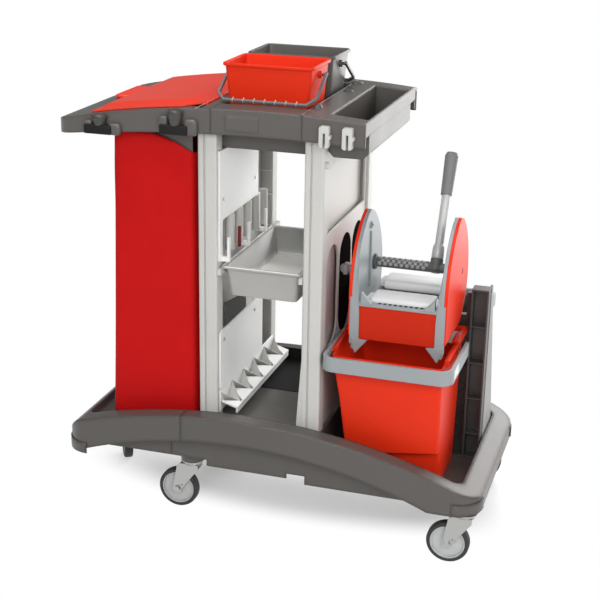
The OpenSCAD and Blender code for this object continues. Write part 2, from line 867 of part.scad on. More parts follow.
// pail with sloping walls and a flat rim, and a set-back foot on the near side if asked
module pail(l, w, fl, fw, h, wall, r, rim, setback = 0, foot_h = 0) {
    difference() {
        union() {
            difference() {
                hull() {
                    along_z(0, 1) rounded_rect(fl, fw, r, $fn = 32);
                    along_z(h - 3, h - 2) rounded_rect(l - 2*rim, w - 2*rim, r + 4, $fn = 32);
                }
                if (setback > 0) {
                    block([-l, -w, -1], [l, -fw/2 + setback, foot_h]);
                }
            }
            along_z(h - 4, h) rounded_rect(l, w, r + 8);
            along_z(h - 14, h - 3) difference() {
                rounded_rect(l, w, r + 8);
                rounded_rect(l - 5, w - 5, r + 5);
            }
        }
        difference() {
            hull() {
                along_z(wall + 1, wall + 2) rounded_rect(fl - 2*wall, fw - 2*wall, r - wall, $fn = 32);
                along_z(h, h + 1) rounded_rect(l - 2*rim - 2*wall, w - 2*rim - 2*wall, r + 4 - wall, $fn = 32);
            }
            if (setback > 0) {
                block([-l, -w, -1], [l, -fw/2 + setback + wall, foot_h + wall]);
            }
        }
    }
}
// small bucket with two bail bosses; bail pins turn in them
bail_z = small_rim - 25;
boss_r = 8;
module small_bucket(yc) {
    difference() {
        union() {
            translate([small_x, yc, small_z]) pail(small_l, small_w, small_l - 46, small_w - 36, small_bucket_h, bucket_wall, 7, 5);
            for (s = [-1, 1]) {
                rod_x(small_x + s*(small_l/2 - 7) - 5, small_x + s*(small_l/2 - 7) + 5, yc, bail_z, boss_r);
            }
        }
        for (s = [-1, 1]) {
            rod_x(small_x + s*(small_l/2) - 6, small_x + s*(small_l/2) + 6, yc, bail_z, bail_pin_r + running_fit);
        }
    }
}
// round wire bail hanging from its pins, drawn swung by an angle from straight down
bail_half = small_l/2 + 7;
bail_len = 103;
grip_r = bail_r + 2;
module bail(yc, swing) {
    translate([small_x, yc, bail_z]) rotate([swing, 0, 0]) {
        for (s = [-1, 1]) {
            rod_x(s < 0 ? -bail_half - bail_r : small_l/2 - 5, s < 0 ? -small_l/2 + 5 : bail_half + bail_r, 0, 0, bail_pin_r);
            translate([s*bail_half, 0, -bail_len]) cylinder(h = bail_len, r = bail_r);
            translate([s*bail_half, 0, -bail_len]) sphere(r = bail_r);
            translate([s*bail_half, 0, 0]) sphere(r = bail_r);
        }
        rod_x(-bail_half, bail_half, 0, -bail_len, bail_r);
        rod_x(-44, 44, 0, -bail_len, grip_r);
    }
}
// angle at which the bail grip lies on the frame top
bail_swing = acos((bail_z - frame_top - grip_r - free_gap)/bail_len);
module bucket_near() { color(red_plastic) small_bucket(small_near_y); }
module bail_near() { color(blue_grey) bail(small_near_y, -bail_swing); }
module bucket_far() { color(dark_plastic) small_bucket(small_far_y); }
module bail_far() { color(blue_grey) bail(small_far_y, bail_swing); }

// mop bucket with pivot bosses for its handle
module mop_bucket() {
    color(red_plastic) difference() {
        union() {
            translate([mop_x, mop_y, mop_z])
                pail(mop_l, mop_w, mop_foot_l, mop_foot_w, mop_bucket_h, bucket_wall, 18, rim_w - 3, 22, 90);
            for (s = [-1, 1]) {
                rod_x(mop_x + s*(mop_l/2 - 9) - 9, mop_x + s*(mop_l/2 - 9) + 9, handle_pivot_y, handle_pivot_z, 13);
            }
        }
        for (s = [-1, 1]) {
            rod_x(mop_x + s*mop_l/2 - 10, mop_x + s*mop_l/2 + 10, handle_pivot_y, handle_pivot_z, pivot_r + running_fit);
        }
    }
}
// U-shaped flat handle lying to one side, from its front bar back to its pivots
module u_plan(half, depth, r) {
    translate([0, depth/2]) rounded_rect(2*half, depth, r);
    translate([-half, r]) square([2*half, depth - r]);
}
module u_handle(half, front, back, z0, z1) {
    depth = abs(back - front);
    along_z(z0, z1) translate([0, front]) mirror([0, back < front ? 1 : 0]) difference() {
        u_plan(half + handle_t, depth, 30);
        translate([0, handle_t]) u_plan(half, depth, 30 - handle_t);
    }
}
module mop_handle() {
    color(blue_grey) translate([mop_x, 0, 0]) {
        u_handle(handle_half, handle_front, handle_pivot_y + 8, handle_pivot_z - 12, handle_pivot_z - 12 + handle_h);
        for (s = [-1, 1]) {
            rod_x(s < 0 ? -handle_half - 2 : mop_l/2 - 8, s < 0 ? -mop_l/2 + 8 : handle_half + 2,
                handle_pivot_y, handle_pivot_z, pivot_r);
        }
    }
}
// slim second bucket behind the divider
module slim_bucket() {
    color(dark_plastic) difference() {
        union() {
            translate([slim_x, slim_y, slim_z])
                pail(slim_l, slim_w, slim_l - 46, slim_foot_w, slim_rim - slim_z, bucket_wall, 14, 8);
            for (s = [-1, 1]) {
                rod_x(slim_x + s*(slim_l/2 - 6) - 8, slim_x + s*(slim_l/2 - 6) + 8, slim_y, slim_pivot_z, 7);
            }
        }
        for (s = [-1, 1]) {
            rod_x(slim_x + s*slim_l/2 - 10, slim_x + s*slim_l/2 + 10, slim_y, slim_pivot_z, pivot_r + running_fit);
        }
    }
}
module slim_handle() {
    color(blue_grey) translate([slim_x, 0, 0]) {
        u_handle(slim_half, half_w - 5, slim_y - 8, slim_pivot_z - 6, slim_pivot_z + 18);
        for (s = [-1, 1]) {
            rod_x(s < 0 ? -slim_half - 2 : slim_l/2 - 8, s < 0 ? -slim_l/2 + 8 : slim_half + 2,
                slim_y, slim_pivot_z, pivot_r);
        }
    }
}

// upright wall between the buckets: ribs, edge channels, hand hole and tapered cheeks
rib_t = 3;
notch_half = shield_in + shield_t + cover_t + 6;
notch_z = 350;
module divider_ribs() {
    cx = (divider_x0 + divider_x1)/2;
    along_y(divider_y - rib_t, divider_y + 1) intersection() {
        translate([divider_x0 + channel_w, low_deck + 20])
            square([divider_x1 - divider_x0 - 2*channel_w, divider_top - low_deck - 30]);
        union() {
            for (k = [-6:6]) {
                for (a = [-1, 1]) {
                    translate([cx + k*58, low_deck + 170]) rotate(a*45) square([2, 900], center = true);
                }
            }
        }
    }
}
module divider() {
    w = divider_x1 - divider_x0;
    color(dark_plastic) difference() {
        union() {
            along_y(divider_y, divider_y + divider_t) translate([divider_x0, low_deck])
                square([w, divider_top - low_deck]);
            divider_ribs();
            for (x = [divider_x0, divider_x1 - channel_w]) {
                d = x == divider_x0 ? 9 : channel_d;
                block([x, divider_y - d, low_deck], [x + 4, divider_y + 1, divider_top + 16]);
                block([x + channel_w - 4, divider_y - d, low_deck], [x + channel_w, divider_y + 1, divider_top + 16]);
                block([x, divider_y - d, divider_top + 12], [x + channel_w, divider_y + divider_t, divider_top + 16]);
                block([x, divider_y, low_deck], [x + channel_w, divider_y + divider_t, divider_top + 16]);
                for (z = [60, 150, 240, 330]) {
                    block([x, divider_y - d + 4, low_deck + z], [x + channel_w, divider_y + 1, low_deck + z + 3]);
                }
            }
            block([divider_x0 + channel_w, divider_y - 9, divider_top - 4],
                [divider_x1 - channel_w, divider_y + 1, divider_top]);
            block([divider_x0, divider_y - channel_d, low_deck], [divider_x1, divider_y + 1, low_deck + 4]);
            for (x = [divider_x0, divider_x1 - 4]) {
                along_x(x, x + 4) polygon([[divider_y, low_deck], [divider_y + 128, low_deck],
                    [divider_y + 122, low_deck + 60], [divider_y + 20, divider_top + 16], [divider_y, divider_top + 16]]);
            }
        }
        // notch that clears the wringer and a hand hole below it
        block([wring_x - notch_half, divider_y - channel_d - 1, low_deck + notch_z],
            [wring_x + notch_half, divider_y + divider_t + 1, divider_top + 20]);
        along_y(divider_y - channel_d, divider_y + divider_t + 1)
            translate([(divider_x0 + divider_x1)/2, low_deck + notch_z - 36]) rounded_rect(150, 26, 12);
    }
}

// side view of a wringer shield: pointed arch above, round far corner below
module shield_profile() {
    union() {
        intersection() {
            translate([shield_y - ogive_r + shield_half, shield_z]) circle(ogive_r, $fn = 128);
            translate([shield_y + ogive_r - shield_half, shield_z]) circle(ogive_r, $fn = 128);
            translate([shield_y - shield_half, shield_z - 2]) square([2*shield_half, ogive_rise - 6]);
        }
        translate([shield_y, shield_top - tip_r - 3]) circle(tip_r);
        translate([shield_y - shield_half, shield_base]) square([shield_half + 20, shield_z - shield_base]);
        translate([shield_y + shield_half - 96, shield_z]) circle(96);
    }
}
wring_l = wring_x - shield_in - shield_t;
wring_r = wring_x + shield_in + shield_t;
module wringer_frame() {
    color(blue_grey) difference() {
        union() {
            for (s = [-1, 1]) {
                along_x(s < 0 ? wring_l : wring_r - shield_t, s < 0 ? wring_l + shield_t : wring_r) shield_profile();
                x0 = s < 0 ? wring_l : wring_r - 14;
                block([x0, shield_y - shield_half, mop_rim - 10], [x0 + 14, shield_y - shield_half + 16, shield_z - 20]);
                y0 = shield_y - 40;
                xa = s < 0 ? mop_x - mop_l/2 + 2 : wring_r - 2;
                xb = s < 0 ? wring_l + 2 : mop_x + mop_l/2 - 2;
                block([xa, y0, mop_rim + free_gap], [xb, y0 + 60, mop_rim + 8]);
                block([s < 0 ? wring_l : wring_r - shield_t, y0, mop_rim + free_gap],
                    [s < 0 ? wring_l + shield_t : wring_r, y0 + 60, shield_base + 10]);
            }
            block([wring_l, shield_y - shield_half, tray_z + 18], [wring_r, shield_y - shield_half + 14, tray_z + 26]);
            block([wring_l, shield_y + shield_half - 40, tray_z - 10], [wring_r, shield_y + shield_half - 28, tray_z]);
        }
        rod_x(wring_l - 1, wring_r + 1, shaft_y, shaft_z, shaft_pin_r + running_fit);
    }
}
module wringer_covers() {
    color(red_plastic) difference() {
        for (s = [-1, 1]) {
            along_x(s < 0 ? wring_l - cover_t : wring_r, s < 0 ? wring_l : wring_r + cover_t) shield_profile();
        }
        rod_x(wring_l - 10, wring_r + 10, shaft_y, shaft_z, shaft_pin_r + 1);
    }
}
module wringer_front() {
    color(red_plastic) {
        block([wring_l + 14, shield_y - shield_half + 2, mop_rim + 14], [wring_r - 14, shield_y - shield_half + 7, tray_z + 18]);
    }
}
module wringer_tray() {
    color(blue_grey) difference() {
        block([wring_l + shield_t, shield_y - shield_half + 16, tray_z], [wring_r - shield_t, shield_y + shield_half - 28, tray_z + tray_t]);
        for (i = [-4:4]) {
            for (j = [0:6]) {
                translate([wring_x + i*19, shield_y - shield_half + 36 + j*26, tray_z - 1]) cylinder(h = tray_t + 2, r = 4.5, $fn = 24);
            }
        }
    }
}
module press_plate(yc, z0) {
    along_z(z0, z0 + press_t) translate([wring_x, yc]) difference() {
        rounded_rect(press_l, press_w, 12);
        for (s = [-1, 1]) {
            translate([s*press_l/2, 6]) square([10, 16], center = true);
        }
    }
}
module press_fixed() { color(white_plastic) press_plate(press_front_y, press_z); }
module press_moving() { color(white_plastic) press_plate(press_rear_y, press_z + free_gap); }

// cross shaft with end pins, toothed over its length, and the lever socket
module wringer_shaft() {
    color(blue_grey) {
        rod_x(wring_l + shield_t + free_gap, wring_r - shield_t - free_gap, shaft_y, shaft_z, shaft_r - 2);
        rod_x(wring_l - 3, wring_r + 3, shaft_y, shaft_z, shaft_pin_r);
        for (k = [0:10]) {
            x = wring_l + shield_t + 6 + k*15;
            rod_x(x, x + 6, shaft_y, shaft_z, shaft_r);
        }
        translate([lever_x, shaft_y, shaft_z]) rotate([-lever_lean, 0, 0]) difference() {
            cylinder(h = 52, r = 14);
            translate([0, 0, 20]) cylinder(h = 40, r = tube_r);
        }
    }
}
tube_r = 10;
grip_len = 100;
module lever_tube() {
    color(steel) translate([lever_x, shaft_y, shaft_z]) rotate([-lever_lean, 0, 0])
        translate([0, 0, 20]) cylinder(h = lever_length - 30, r = tube_r);
}
module lever_grip() {
    color(rubber) translate([lever_x, shaft_y, shaft_z]) rotate([-lever_lean, 0, 0]) difference() {
        union() {
            translate([0, 0, lever_length - grip_len]) cylinder(h = grip_len - 8, r1 = 13, r2 = 15.5);
            translate([0, 0, lever_length - 8]) cylinder(h = 8, r1 = 15.5, r2 = 12);
        }
        translate([0, 0, lever_length - grip_len - 1]) cylinder(h = grip_len - 9, r = tube_r);
    }
}

// round screw heads on the holders
module screws() {
    color(steel) {
        for (y = [holder_near + 22, upper_far - 22]) {
            for (z = [mid_deck + 190, tray_rim + 150]) {
                rod_x(left_in + holder_t, left_in + holder_t + 2, y, z, 4);
            }
        }
    }
}

base_main();
base_extension();
corner_bumpers();
caster_heads();
fork_1();
fork_2();
fork_3();
fork_4();
fork_5();
wheel_1();
wheel_2();
wheel_3();
wheel_4();
wheel_5();
tyre_1();
tyre_2();
tyre_3();
tyre_4();
tyre_5();
axle_1();
axle_2();
axle_3();
axle_4();
axle_5();
upright_left();
upright_right();
shelf_runners();
shelf_tray();
tool_holder_upper();
tool_holder_lower();
frame_left();
frame_middle();
frame_right();
lid();
lid_pin();
broom_brackets();
broom_knobs();
broom_pads();
handle_clips();
bag();
bag_hooks();
bucket_near();
bail_near();
bucket_far();
bail_far();
mop_bucket();
mop_handle();
slim_bucket();
slim_handle();
divider();
wringer_frame();
wringer_covers();
wringer_front();
wringer_tray();
press_fixed();
press_moving();
wringer_shaft();
lever_tube();
lever_grip();
screws();
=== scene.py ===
"""Looks of the janitor cart: materials, soft and moulded detail, and a plain studio stage."""

import math

import bmesh
import bpy
from mathutils import Matrix, Vector, noise


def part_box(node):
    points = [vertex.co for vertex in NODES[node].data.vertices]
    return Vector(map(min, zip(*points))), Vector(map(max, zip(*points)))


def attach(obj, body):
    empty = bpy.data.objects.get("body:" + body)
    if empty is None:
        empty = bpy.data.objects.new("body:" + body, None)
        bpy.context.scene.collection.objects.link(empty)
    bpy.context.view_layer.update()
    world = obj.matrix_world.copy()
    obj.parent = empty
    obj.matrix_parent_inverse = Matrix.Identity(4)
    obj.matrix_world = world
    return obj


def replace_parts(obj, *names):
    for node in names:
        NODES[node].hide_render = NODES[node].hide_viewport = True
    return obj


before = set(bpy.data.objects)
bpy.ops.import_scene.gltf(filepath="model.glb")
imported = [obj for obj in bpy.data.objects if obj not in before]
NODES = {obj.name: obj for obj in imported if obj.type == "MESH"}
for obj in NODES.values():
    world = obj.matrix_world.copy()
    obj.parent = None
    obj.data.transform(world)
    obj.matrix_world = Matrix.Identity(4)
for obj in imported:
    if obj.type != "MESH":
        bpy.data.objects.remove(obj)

bl_info = {
    "name": "Janitor Cart Looks",
    "version": (1, 0, 0),
    "blender": (4, 5, 0),
    "location": "3D View > Sidebar > Cart",
    "description": "Dresses the cart's CAD frame and builds its soft and moulded detail",
    "category": "Object",
}

COLOUR = {"subtype": "COLOR", "size": 3, "min": 0, "max": 1}


class CartColours(bpy.types.PropertyGroup):
    """Colours of the cart's materials, linear."""
    dark: bpy.props.FloatVectorProperty(
        name="Dark plastic", description="Anthracite mouldings", default=(0.088, 0.081, 0.074), **COLOUR)
    light: bpy.props.FloatVectorProperty(
        name="Light plastic", description="Uprights and tray", default=(0.53, 0.525, 0.50), **COLOUR)
    white: bpy.props.FloatVectorProperty(
        name="White plastic", description="Holders and press plates",
        default=(0.78, 0.78, 0.77), **COLOUR)
    red: bpy.props.FloatVectorProperty(
        name="Red plastic", description="Buckets, lid and wringer covers",
        default=(0.74, 0.030, 0.0070), **COLOUR)
    grey: bpy.props.FloatVectorProperty(
        name="Blue-grey plastic", description="Handles and wringer frame",
        default=(0.285, 0.310, 0.322), **COLOUR)
    bag: bpy.props.FloatVectorProperty(
        name="Bag", description="Coated bag cloth", default=(0.52, 0.0045, 0.005), **COLOUR)
    zinc: bpy.props.FloatVectorProperty(
        name="Zinc", description="Plated steel", default=(0.48, 0.48, 0.465), **COLOUR)
    rubber: bpy.props.FloatVectorProperty(
        name="Rubber", description="Tyres", default=(0.030, 0.028, 0.027), **COLOUR)


class CartSizes(bpy.types.PropertyGroup):
    """Sizes of the visual detail, and the camera."""
    edge: bpy.props.FloatProperty(
        name="Edge rounding", description="Rounding of moulded edges", unit="LENGTH",
        default=0.0025, min=0.0, max=0.01)
    fold: bpy.props.FloatProperty(
        name="Bag fold", description="Depth of the bag's folds", unit="LENGTH",
        default=0.0035, min=0.0, max=0.01)
    arc_x: bpy.props.FloatProperty(
        name="Arc centre", description="Middle of the top frame's arc", unit="LENGTH", default=-0.009)
    arc_radius: bpy.props.FloatProperty(
        name="Arc radius", description="Radius of the top frame's upper arc", unit="LENGTH", default=2.3)
    under_radius: bpy.props.FloatProperty(
        name="Lower arc radius", description="Radius of the top frame's lower arc", unit="LENGTH",
        default=4.1)
    frame_depth: bpy.props.FloatProperty(
        name="Frame depth", description="Height of the top frame at its crown", unit="LENGTH", default=0.056)
    camera_place: bpy.props.FloatVectorProperty(
        name="Camera place", description="Where the camera stands", subtype="TRANSLATION", unit="LENGTH",
        size=3, default=(0.868, -2.815, 1.529))
    camera_azimuth: bpy.props.FloatProperty(
        name="Camera azimuth", description="Degrees round the cart", default=17.02)
    camera_pitch: bpy.props.FloatProperty(
        name="Camera pitch", description="Degrees down", default=19.31)
    camera_roll: bpy.props.FloatProperty(
        name="Camera roll", description="Degrees about the view axis", default=-1.03)
    camera_lens: bpy.props.FloatProperty(
        name="Lens", description="Focal length in millimetres on a 36 mm sensor", default=78.9)


def colours():
    """The colours set for the scene."""
    return bpy.context.scene.cart_colours


def sizes():
    """The sizes set for the scene."""
    return bpy.context.scene.cart_sizes


def node_of(tree, kind, **inputs):
    """A new shader node with its input sockets set by name."""
    made = tree.nodes.new(kind)
    for name, value in inputs.items():
        made.inputs[name.replace("_", " ")].default_value = value
    return made


def shade(colour, factor):
    """A colour made lighter or darker, with full alpha."""
    return tuple(min(1.0, c * factor) for c in colour) + (1.0,)


def moulded(name, colour, roughness, grain=900.0, depth=0.00012, mottle=0.05, edge=None,
            metallic=0.0, gloss=0.5):
    """Moulded or plated surface: slow colour mottling, fine grain and softened edges."""
    found = bpy.data.materials.get(name)
    if found:
        return found
    cloud_scale, rough_spread, grain_strength = 9.0, 0.05, 0.35
    colour_a, colour_b, colour_out = 6, 7, 2
    mat = bpy.data.materials.new(name)
    mat.use_nodes = True
    tree = mat.node_tree
    link = tree.links.new
    bsdf = tree.nodes["Principled BSDF"]
    bsdf.inputs["Metallic"].default_value = metallic
    bsdf.inputs["Specular IOR Level"].default_value = gloss
    coord = tree.nodes.new("ShaderNodeTexCoord")
    cloud = node_of(tree, "ShaderNodeTexNoise", Scale=cloud_scale, Detail=3.0)
    fine = node_of(tree, "ShaderNodeTexNoise", Scale=grain, Detail=2.0)
    link(coord.outputs["Object"], cloud.inputs["Vector"])
    link(coord.outputs["Object"], fine.inputs["Vector"])
    tone = tree.nodes.new("ShaderNodeMix")
    tone.data_type = "RGBA"
    tone.inputs[colour_a].default_value = shade(colour, 1 - mottle)
    tone.inputs[colour_b].default_value = shade(colour, 1 + mottle)
    link(cloud.outputs["Fac"], tone.inputs["Factor"])
    link(tone.outputs[colour_out], bsdf.inputs["Base Color"])
    spread = node_of(tree, "ShaderNodeMapRange", To_Min=max(0.02, roughness - rough_spread),
                     To_Max=min(1.0, roughness + rough_spread))
    link(cloud.outputs["Fac"], spread.inputs["Value"])
    link(spread.outputs["Result"], bsdf.inputs["Roughness"])
    bevel = tree.nodes.new("ShaderNodeBevel")
    bevel.samples = 4
    bevel.inputs["Radius"].default_value = sizes().edge if edge is None else edge
    bump = node_of(tree, "ShaderNodeBump", Strength=grain_strength, Distance=depth)
    link(fine.outputs["Fac"], bump.inputs["Height"])
    link(bevel.outputs["Normal"], bump.inputs["Normal"])
    link(bump.outputs["Normal"], bsdf.inputs["Normal"])
    return mat


def dark(edge=0.004):
    """Anthracite moulding, its edges softened by the given radius."""
    return moulded("dark_moulding_%d" % round(edge * 10000), colours().dark, 0.34, edge=edge)


def light():
    """Light grey of the uprights and clips."""
    return moulded("light_moulding", colours().light, 0.45, gloss=0.35)


def tray_shaded():
    """Outside of the shelf tray, the light plastic darkened as painted shade."""
    return moulded("tray_painted_shade", [c * 0.74 for c in colours().light], 0.45, gloss=0.35)


def tray_lit():
    """Inside of the shelf tray, the same plastic made pale as painted light."""
    return moulded("tray_painted_light", (0.84, 0.835, 0.81), 0.45, gloss=0.35)


def white():
    """White of the tool holders and press bars; also the painted highlight on the tray rim and the post ribs.
    """
    return moulded("white_moulding", colours().white, 0.42)


def red():
    """Red of the buckets and wringer covers."""
    return moulded("red_moulding", colours().red, 0.38, depth=0.00006, gloss=0.15)


def red_shaded():
    """Red darkened as painted shade, for the wringer front and ears."""
    return moulded("red_painted_shade", [c * 0.72 for c in colours().red], 0.42, depth=0.00006, gloss=0.12)


def lid_red():
    """Glossy red of the bag lid."""
    return moulded("lid_red", colours().red, 0.34, depth=0.00006, gloss=0.8)


def insert_red():
    """Dark red of the small insert in the tool holder."""
    return moulded("insert_red", (0.17, 0.012, 0.010), 0.5, gloss=0.2)


def grey():
    """Blue-grey of the handles and the wringer frame."""
    return moulded("grey_moulding", colours().grey, 0.40)


def steel_grey():
    """Painted strip of the near bail."""
    return moulded("steel_grey", (0.135, 0.137, 0.140), 0.36, edge=0.001)


def zinc():
    """Zinc plate of casters, pins and screws."""
    return moulded("zinc_steel", colours().zinc, 0.30, grain=500.0, metallic=1.0, edge=0.0008)


def wheel_grey():
    """Pale cores of the wheels."""
    return moulded("wheel_grey", (0.52, 0.53, 0.53), 0.5)


def rubber():
    """Rubber of the tyres."""
    return moulded("rubber_tread", colours().rubber, 0.62, edge=0.002)


def black():
    """Black plastic of the grips; the same black also paints shade in the wringer's slots and on the middle
    deck.
    """
    return moulded("black_plastic_and_shade", (0.012, 0.011, 0.011), 0.6, edge=0.001, gloss=0.2)


def stub_shaded():
    """Dark plastic of the broom stubs, darkened as painted shade."""
    return moulded("stub_plastic", (0.055, 0.050, 0.047), 0.4)


def divider_shaded():
    """Glossy dark plastic of the ribbed divider, darker than the other dark mouldings as painted shade in its
    channel.
    """
    return moulded("divider_plastic", (0.040, 0.037, 0.036), 0.42, edge=0.0015, gloss=0.8)


def cheek_painted_light():
    """Pale grey painted light for the end face of the dark divider."""
    return moulded("cheek_painted_light", (0.27, 0.265, 0.255), 0.45)


def deep_shade():
    """Matt black, painted shade behind the far windows."""
    return moulded("deep_shade", (0.010, 0.009, 0.009), 0.95, gloss=0.0)


def window_grey():
    """Pale back of the near window."""
    return moulded("window_grey", (0.52, 0.51, 0.50), 0.5)


def web_shade_grey():
    """Dark grey, painted shade on the left upright's web under the tray."""
    return moulded("web_shade_grey", (0.045, 0.043, 0.041), 0.6, gloss=0.2)


def tube_grey():
    """Satin paint of the lever tube and its collar."""
    return moulded("tube_grey", (0.50, 0.50, 0.49), 0.38, metallic=0.25, edge=0.0008)


def grip_grey():
    """Grey of the lever grip."""
    return moulded("grip_grey", (0.16, 0.16, 0.165), 0.5)


def shaft_grey():
    """Dark core of the cross shaft."""
    return moulded("shaft_grey", (0.10, 0.10, 0.10), 0.45)


def stud_grey():
    """Paler studs of the cross shaft."""
    return moulded("stud_grey", (0.34, 0.34, 0.335), 0.4)


def bag_cloth():
    """Coated cloth: matt, with a fine weave bump."""
    return moulded("bag_cloth", colours().bag, 0.62, grain=1400.0, depth=0.0002, mottle=0.09, edge=0.001,
                   gloss=0.12)


def dress(names, material):
    """Give CAD nodes a material."""
    for name in names:
        mesh = NODES[name].data
        mesh.materials.clear()
        mesh.materials.append(material)


def mesh_object(name, mesh, material, body):
    """An object from a finished mesh, riding on a body."""
    mesh.materials.append(material)
    made = bpy.data.objects.new(name, mesh)
    bpy.context.scene.collection.objects.link(made)
    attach(made, body)
    return made


class Shape:
    """Collects boxes, rods, sweeps and skins in the row frame into one mesh."""

    def __init__(self):
        self.bm = bmesh.new()

    def box(self, lo, hi, radius=0.0, turn=None, segments=3):
        """Box between two corners with rounded edges, turned about its centre."""
        lo, hi = Vector(lo), Vector(hi)
        made = bmesh.ops.create_cube(self.bm, size=1.0)["verts"]
        place = Matrix.Translation((lo + hi) / 2)
        if turn is not None:
            place = place @ turn
        size = Matrix.Diagonal(tuple(hi - lo) + (1.0,))
        bmesh.ops.transform(self.bm, matrix=size, verts=made)
        if radius > 0:
            edges = list(dict.fromkeys(e for v in made for e in v.link_edges))
            made = bmesh.ops.bevel(self.bm, geom=edges, offset=radius, segments=segments, profile=0.5,
                                   affect="EDGES", clamp_overlap=True)["verts"]
        bmesh.ops.transform(self.bm, matrix=place, verts=list(dict.fromkeys(made)))
        return self

    def rod(self, a, b, r0, r1=None, sides=24, cap=0.0):
        """Round bar from a to b; cap rounds the far end by that much."""
        a, b = Vector(a), Vector(b)
        r1 = r0 if r1 is None else r1
        along = b - a
        shoulder, steps, least = along.length - cap, 4, 0.0004
        rings = [(0.0, r0), (shoulder, r1)]
        if cap > 0:
            for k in range(1, steps + 1):
                t = k / steps * math.pi / 2
                rings.append((shoulder + cap * math.sin(t), max(least, r1 * math.cos(t))))
        return self.lathe(a, along.normalized(), rings, sides)

    def lathe(self, start, axis, rings, sides=24):
        """Closed surface of rings (distance along the axis, radius)."""
        basis = Vector(axis).to_track_quat("Z", "Y").to_matrix()
        turns = [2 * math.pi * i / sides for i in range(sides)]
        return self.loft([[Vector(start) + basis @ Vector((radius * math.cos(a), radius * math.sin(a), dist))
                           for a in turns] for dist, radius in rings])

    def sweep(self, path, across, section):
        """Section points (sideways, across) along a path; sideways is square to the path and to across."""
        path = [Vector(p) for p in path]
        across = Vector(across).normalized()
        least = 0.3
        loops = []
        for i, p in enumerate(path):
            before = (p - path[i - 1]).normalized() if i else None
            after = (path[i + 1] - p).normalized() if i + 1 < len(path) else None
            ahead = ((before or after) + (after or before)).normalized()
            stretch = 1.0 / max(least, ahead.dot(after or before))
            side = ahead.cross(across).normalized()
            loops.append([p + side * (u * stretch) + across * v for u, v in section])
        return self.loft(loops)

    def prism(self, outline, along):
        """Flat outline of points pushed along a vector."""
        along = Vector(along)
        return self.loft([outline, [Vector(p) + along for p in outline]])

    def loft(self, loops):
        """Skin over loops of points of the same count, with flat ends."""
        rings = [[self.bm.verts.new(p) for p in loop] for loop in loops]
        count = len(rings[0])
        for low, high in zip(rings, rings[1:]):
            for i in range(count):
                k = (i + 1) % count
                self.bm.faces.new((low[i], low[k], high[k], high[i]))
        self.bm.faces.new(tuple(reversed(rings[0])))
        self.bm.faces.new(tuple(rings[-1]))
        return self

    def slab(self, top, bottom):
        """Closed slab between two grids of points of the same size."""
        grids = [[[self.bm.verts.new(p) for p in row] for row in grid] for grid in (top, bottom)]
        rows, cols = len(top), len(top[0])
        for grid in grids:
            for i in range(rows - 1):
                for j in range(cols - 1):
                    self.bm.faces.new((grid[i][j], grid[i + 1][j], grid[i + 1][j + 1], grid[i][j + 1]))
        rim = [(i, 0) for i in range(rows)]
        rim += [(rows - 1, j) for j in range(1, cols)]
        rim += [(i, cols - 1) for i in range(rows - 2, -1, -1)]
        rim += [(0, j) for j in range(cols - 2, 0, -1)]
        for (a, b), (c, d) in zip(rim, rim[1:] + rim[:1]):
            self.bm.faces.new((grids[0][a][b], grids[0][c][d], grids[1][c][d], grids[1][a][b]))
        return self

    def piece(self, name, material, body, angle=40.0):
        """Turn the collected shape into an object riding on a body."""
        bmesh.ops.recalc_face_normals(self.bm, faces=self.bm.faces)
        mesh = bpy.data.meshes.new(name)
        self.bm.to_mesh(mesh)
        self.bm.free()
        mesh.shade_smooth()
        mesh.set_sharp_from_angle(angle=math.radians(angle))
        return mesh_object(name, mesh, material, body)


def rounded(corners, radius, steps=5):
    """Outline of a flat polygon with its corners rounded."""
    points = []
    most = 0.49
    for i, corner in enumerate(corners):
        before, here, after = Vector(corners[i - 1]), Vector(corner), Vector(corners[(i + 1) % len(corners)])
        a, b = (before - here).normalized(), (after - here).normalized()
        half = a.angle(b) / 2
        reach = min(radius / math.tan(half), (before - here).length * most, (after - here).length * most)
        centre = here + (a + b).normalized() * (reach / math.cos(half))
        start, end = here + a * reach - centre, here + b * reach - centre
        for k in range(steps + 1):
            points.append(centre + start.slerp(end, k / steps).normalized() * start.length)
    return points


def ease(value):
    """Smooth step from 0 to 1."""
    value = max(0.0, min(1.0, value))
    return value * value * (3 - 2 * value)


def arc_height(crown, radius, x):
    """Height at x of an arc over the middle of the top frame."""
    return crown - radius + math.sqrt(radius ** 2 - (x - sizes().arc_x) ** 2)


def frame_top(x):
    """Height of the top frame's upper arc."""
    return arc_height(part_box("frame_middle")[1].z, sizes().arc_radius, x)


def frame_foot(x):
    """Height of the top frame's lower arc."""
    return arc_height(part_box("frame_middle")[1].z - sizes().frame_depth, sizes().under_radius, x)


class CART_OT_base(bpy.types.Operator):
    """Base mouldings, and painted shade over the far half of the middle deck and its far wall"""
    bl_idname = "cart.base"
    bl_label = "Base"

    def execute(self, context):
        dress(["base_main", "base_extension", "corner_bumpers"], dark(0.014))
        gap = 0.001
        left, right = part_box("upright_left")[1].x + gap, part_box("upright_right")[0].x - gap
        deck, shade_top, wall_shade_top = 0.2582, 0.2594, 0.286
        shade_near, shade_far, wall_shade_near, wall_shade_far = 0.004, 0.212, 0.2125, 0.2140
        # Painted shade: a black sheet on the far half of the deck and a black strip up its far wall, where
        # there is only shade.
        mat = Shape()
        mat.box((left, shade_near, deck), (right, shade_far, shade_top))
        mat.box((left, wall_shade_near, deck), (right, wall_shade_far, wall_shade_top))
        mat.piece("deck_painted_shade", black(), "cart")
        return {"FINISHED"}


class CART_OT_casters(bpy.types.Operator):
    """Swivel casters"""
    bl_idname = "cart.casters"
    bl_label = "Casters"

    def execute(self, context):
        dress(["caster_heads"], zinc())
        for k in range(1, 6):
            dress(["fork_%d" % k, "axle_%d" % k], zinc())
            dress(["wheel_%d" % k], wheel_grey())
            dress(["tyre_%d" % k], rubber())
        return {"FINISHED"}


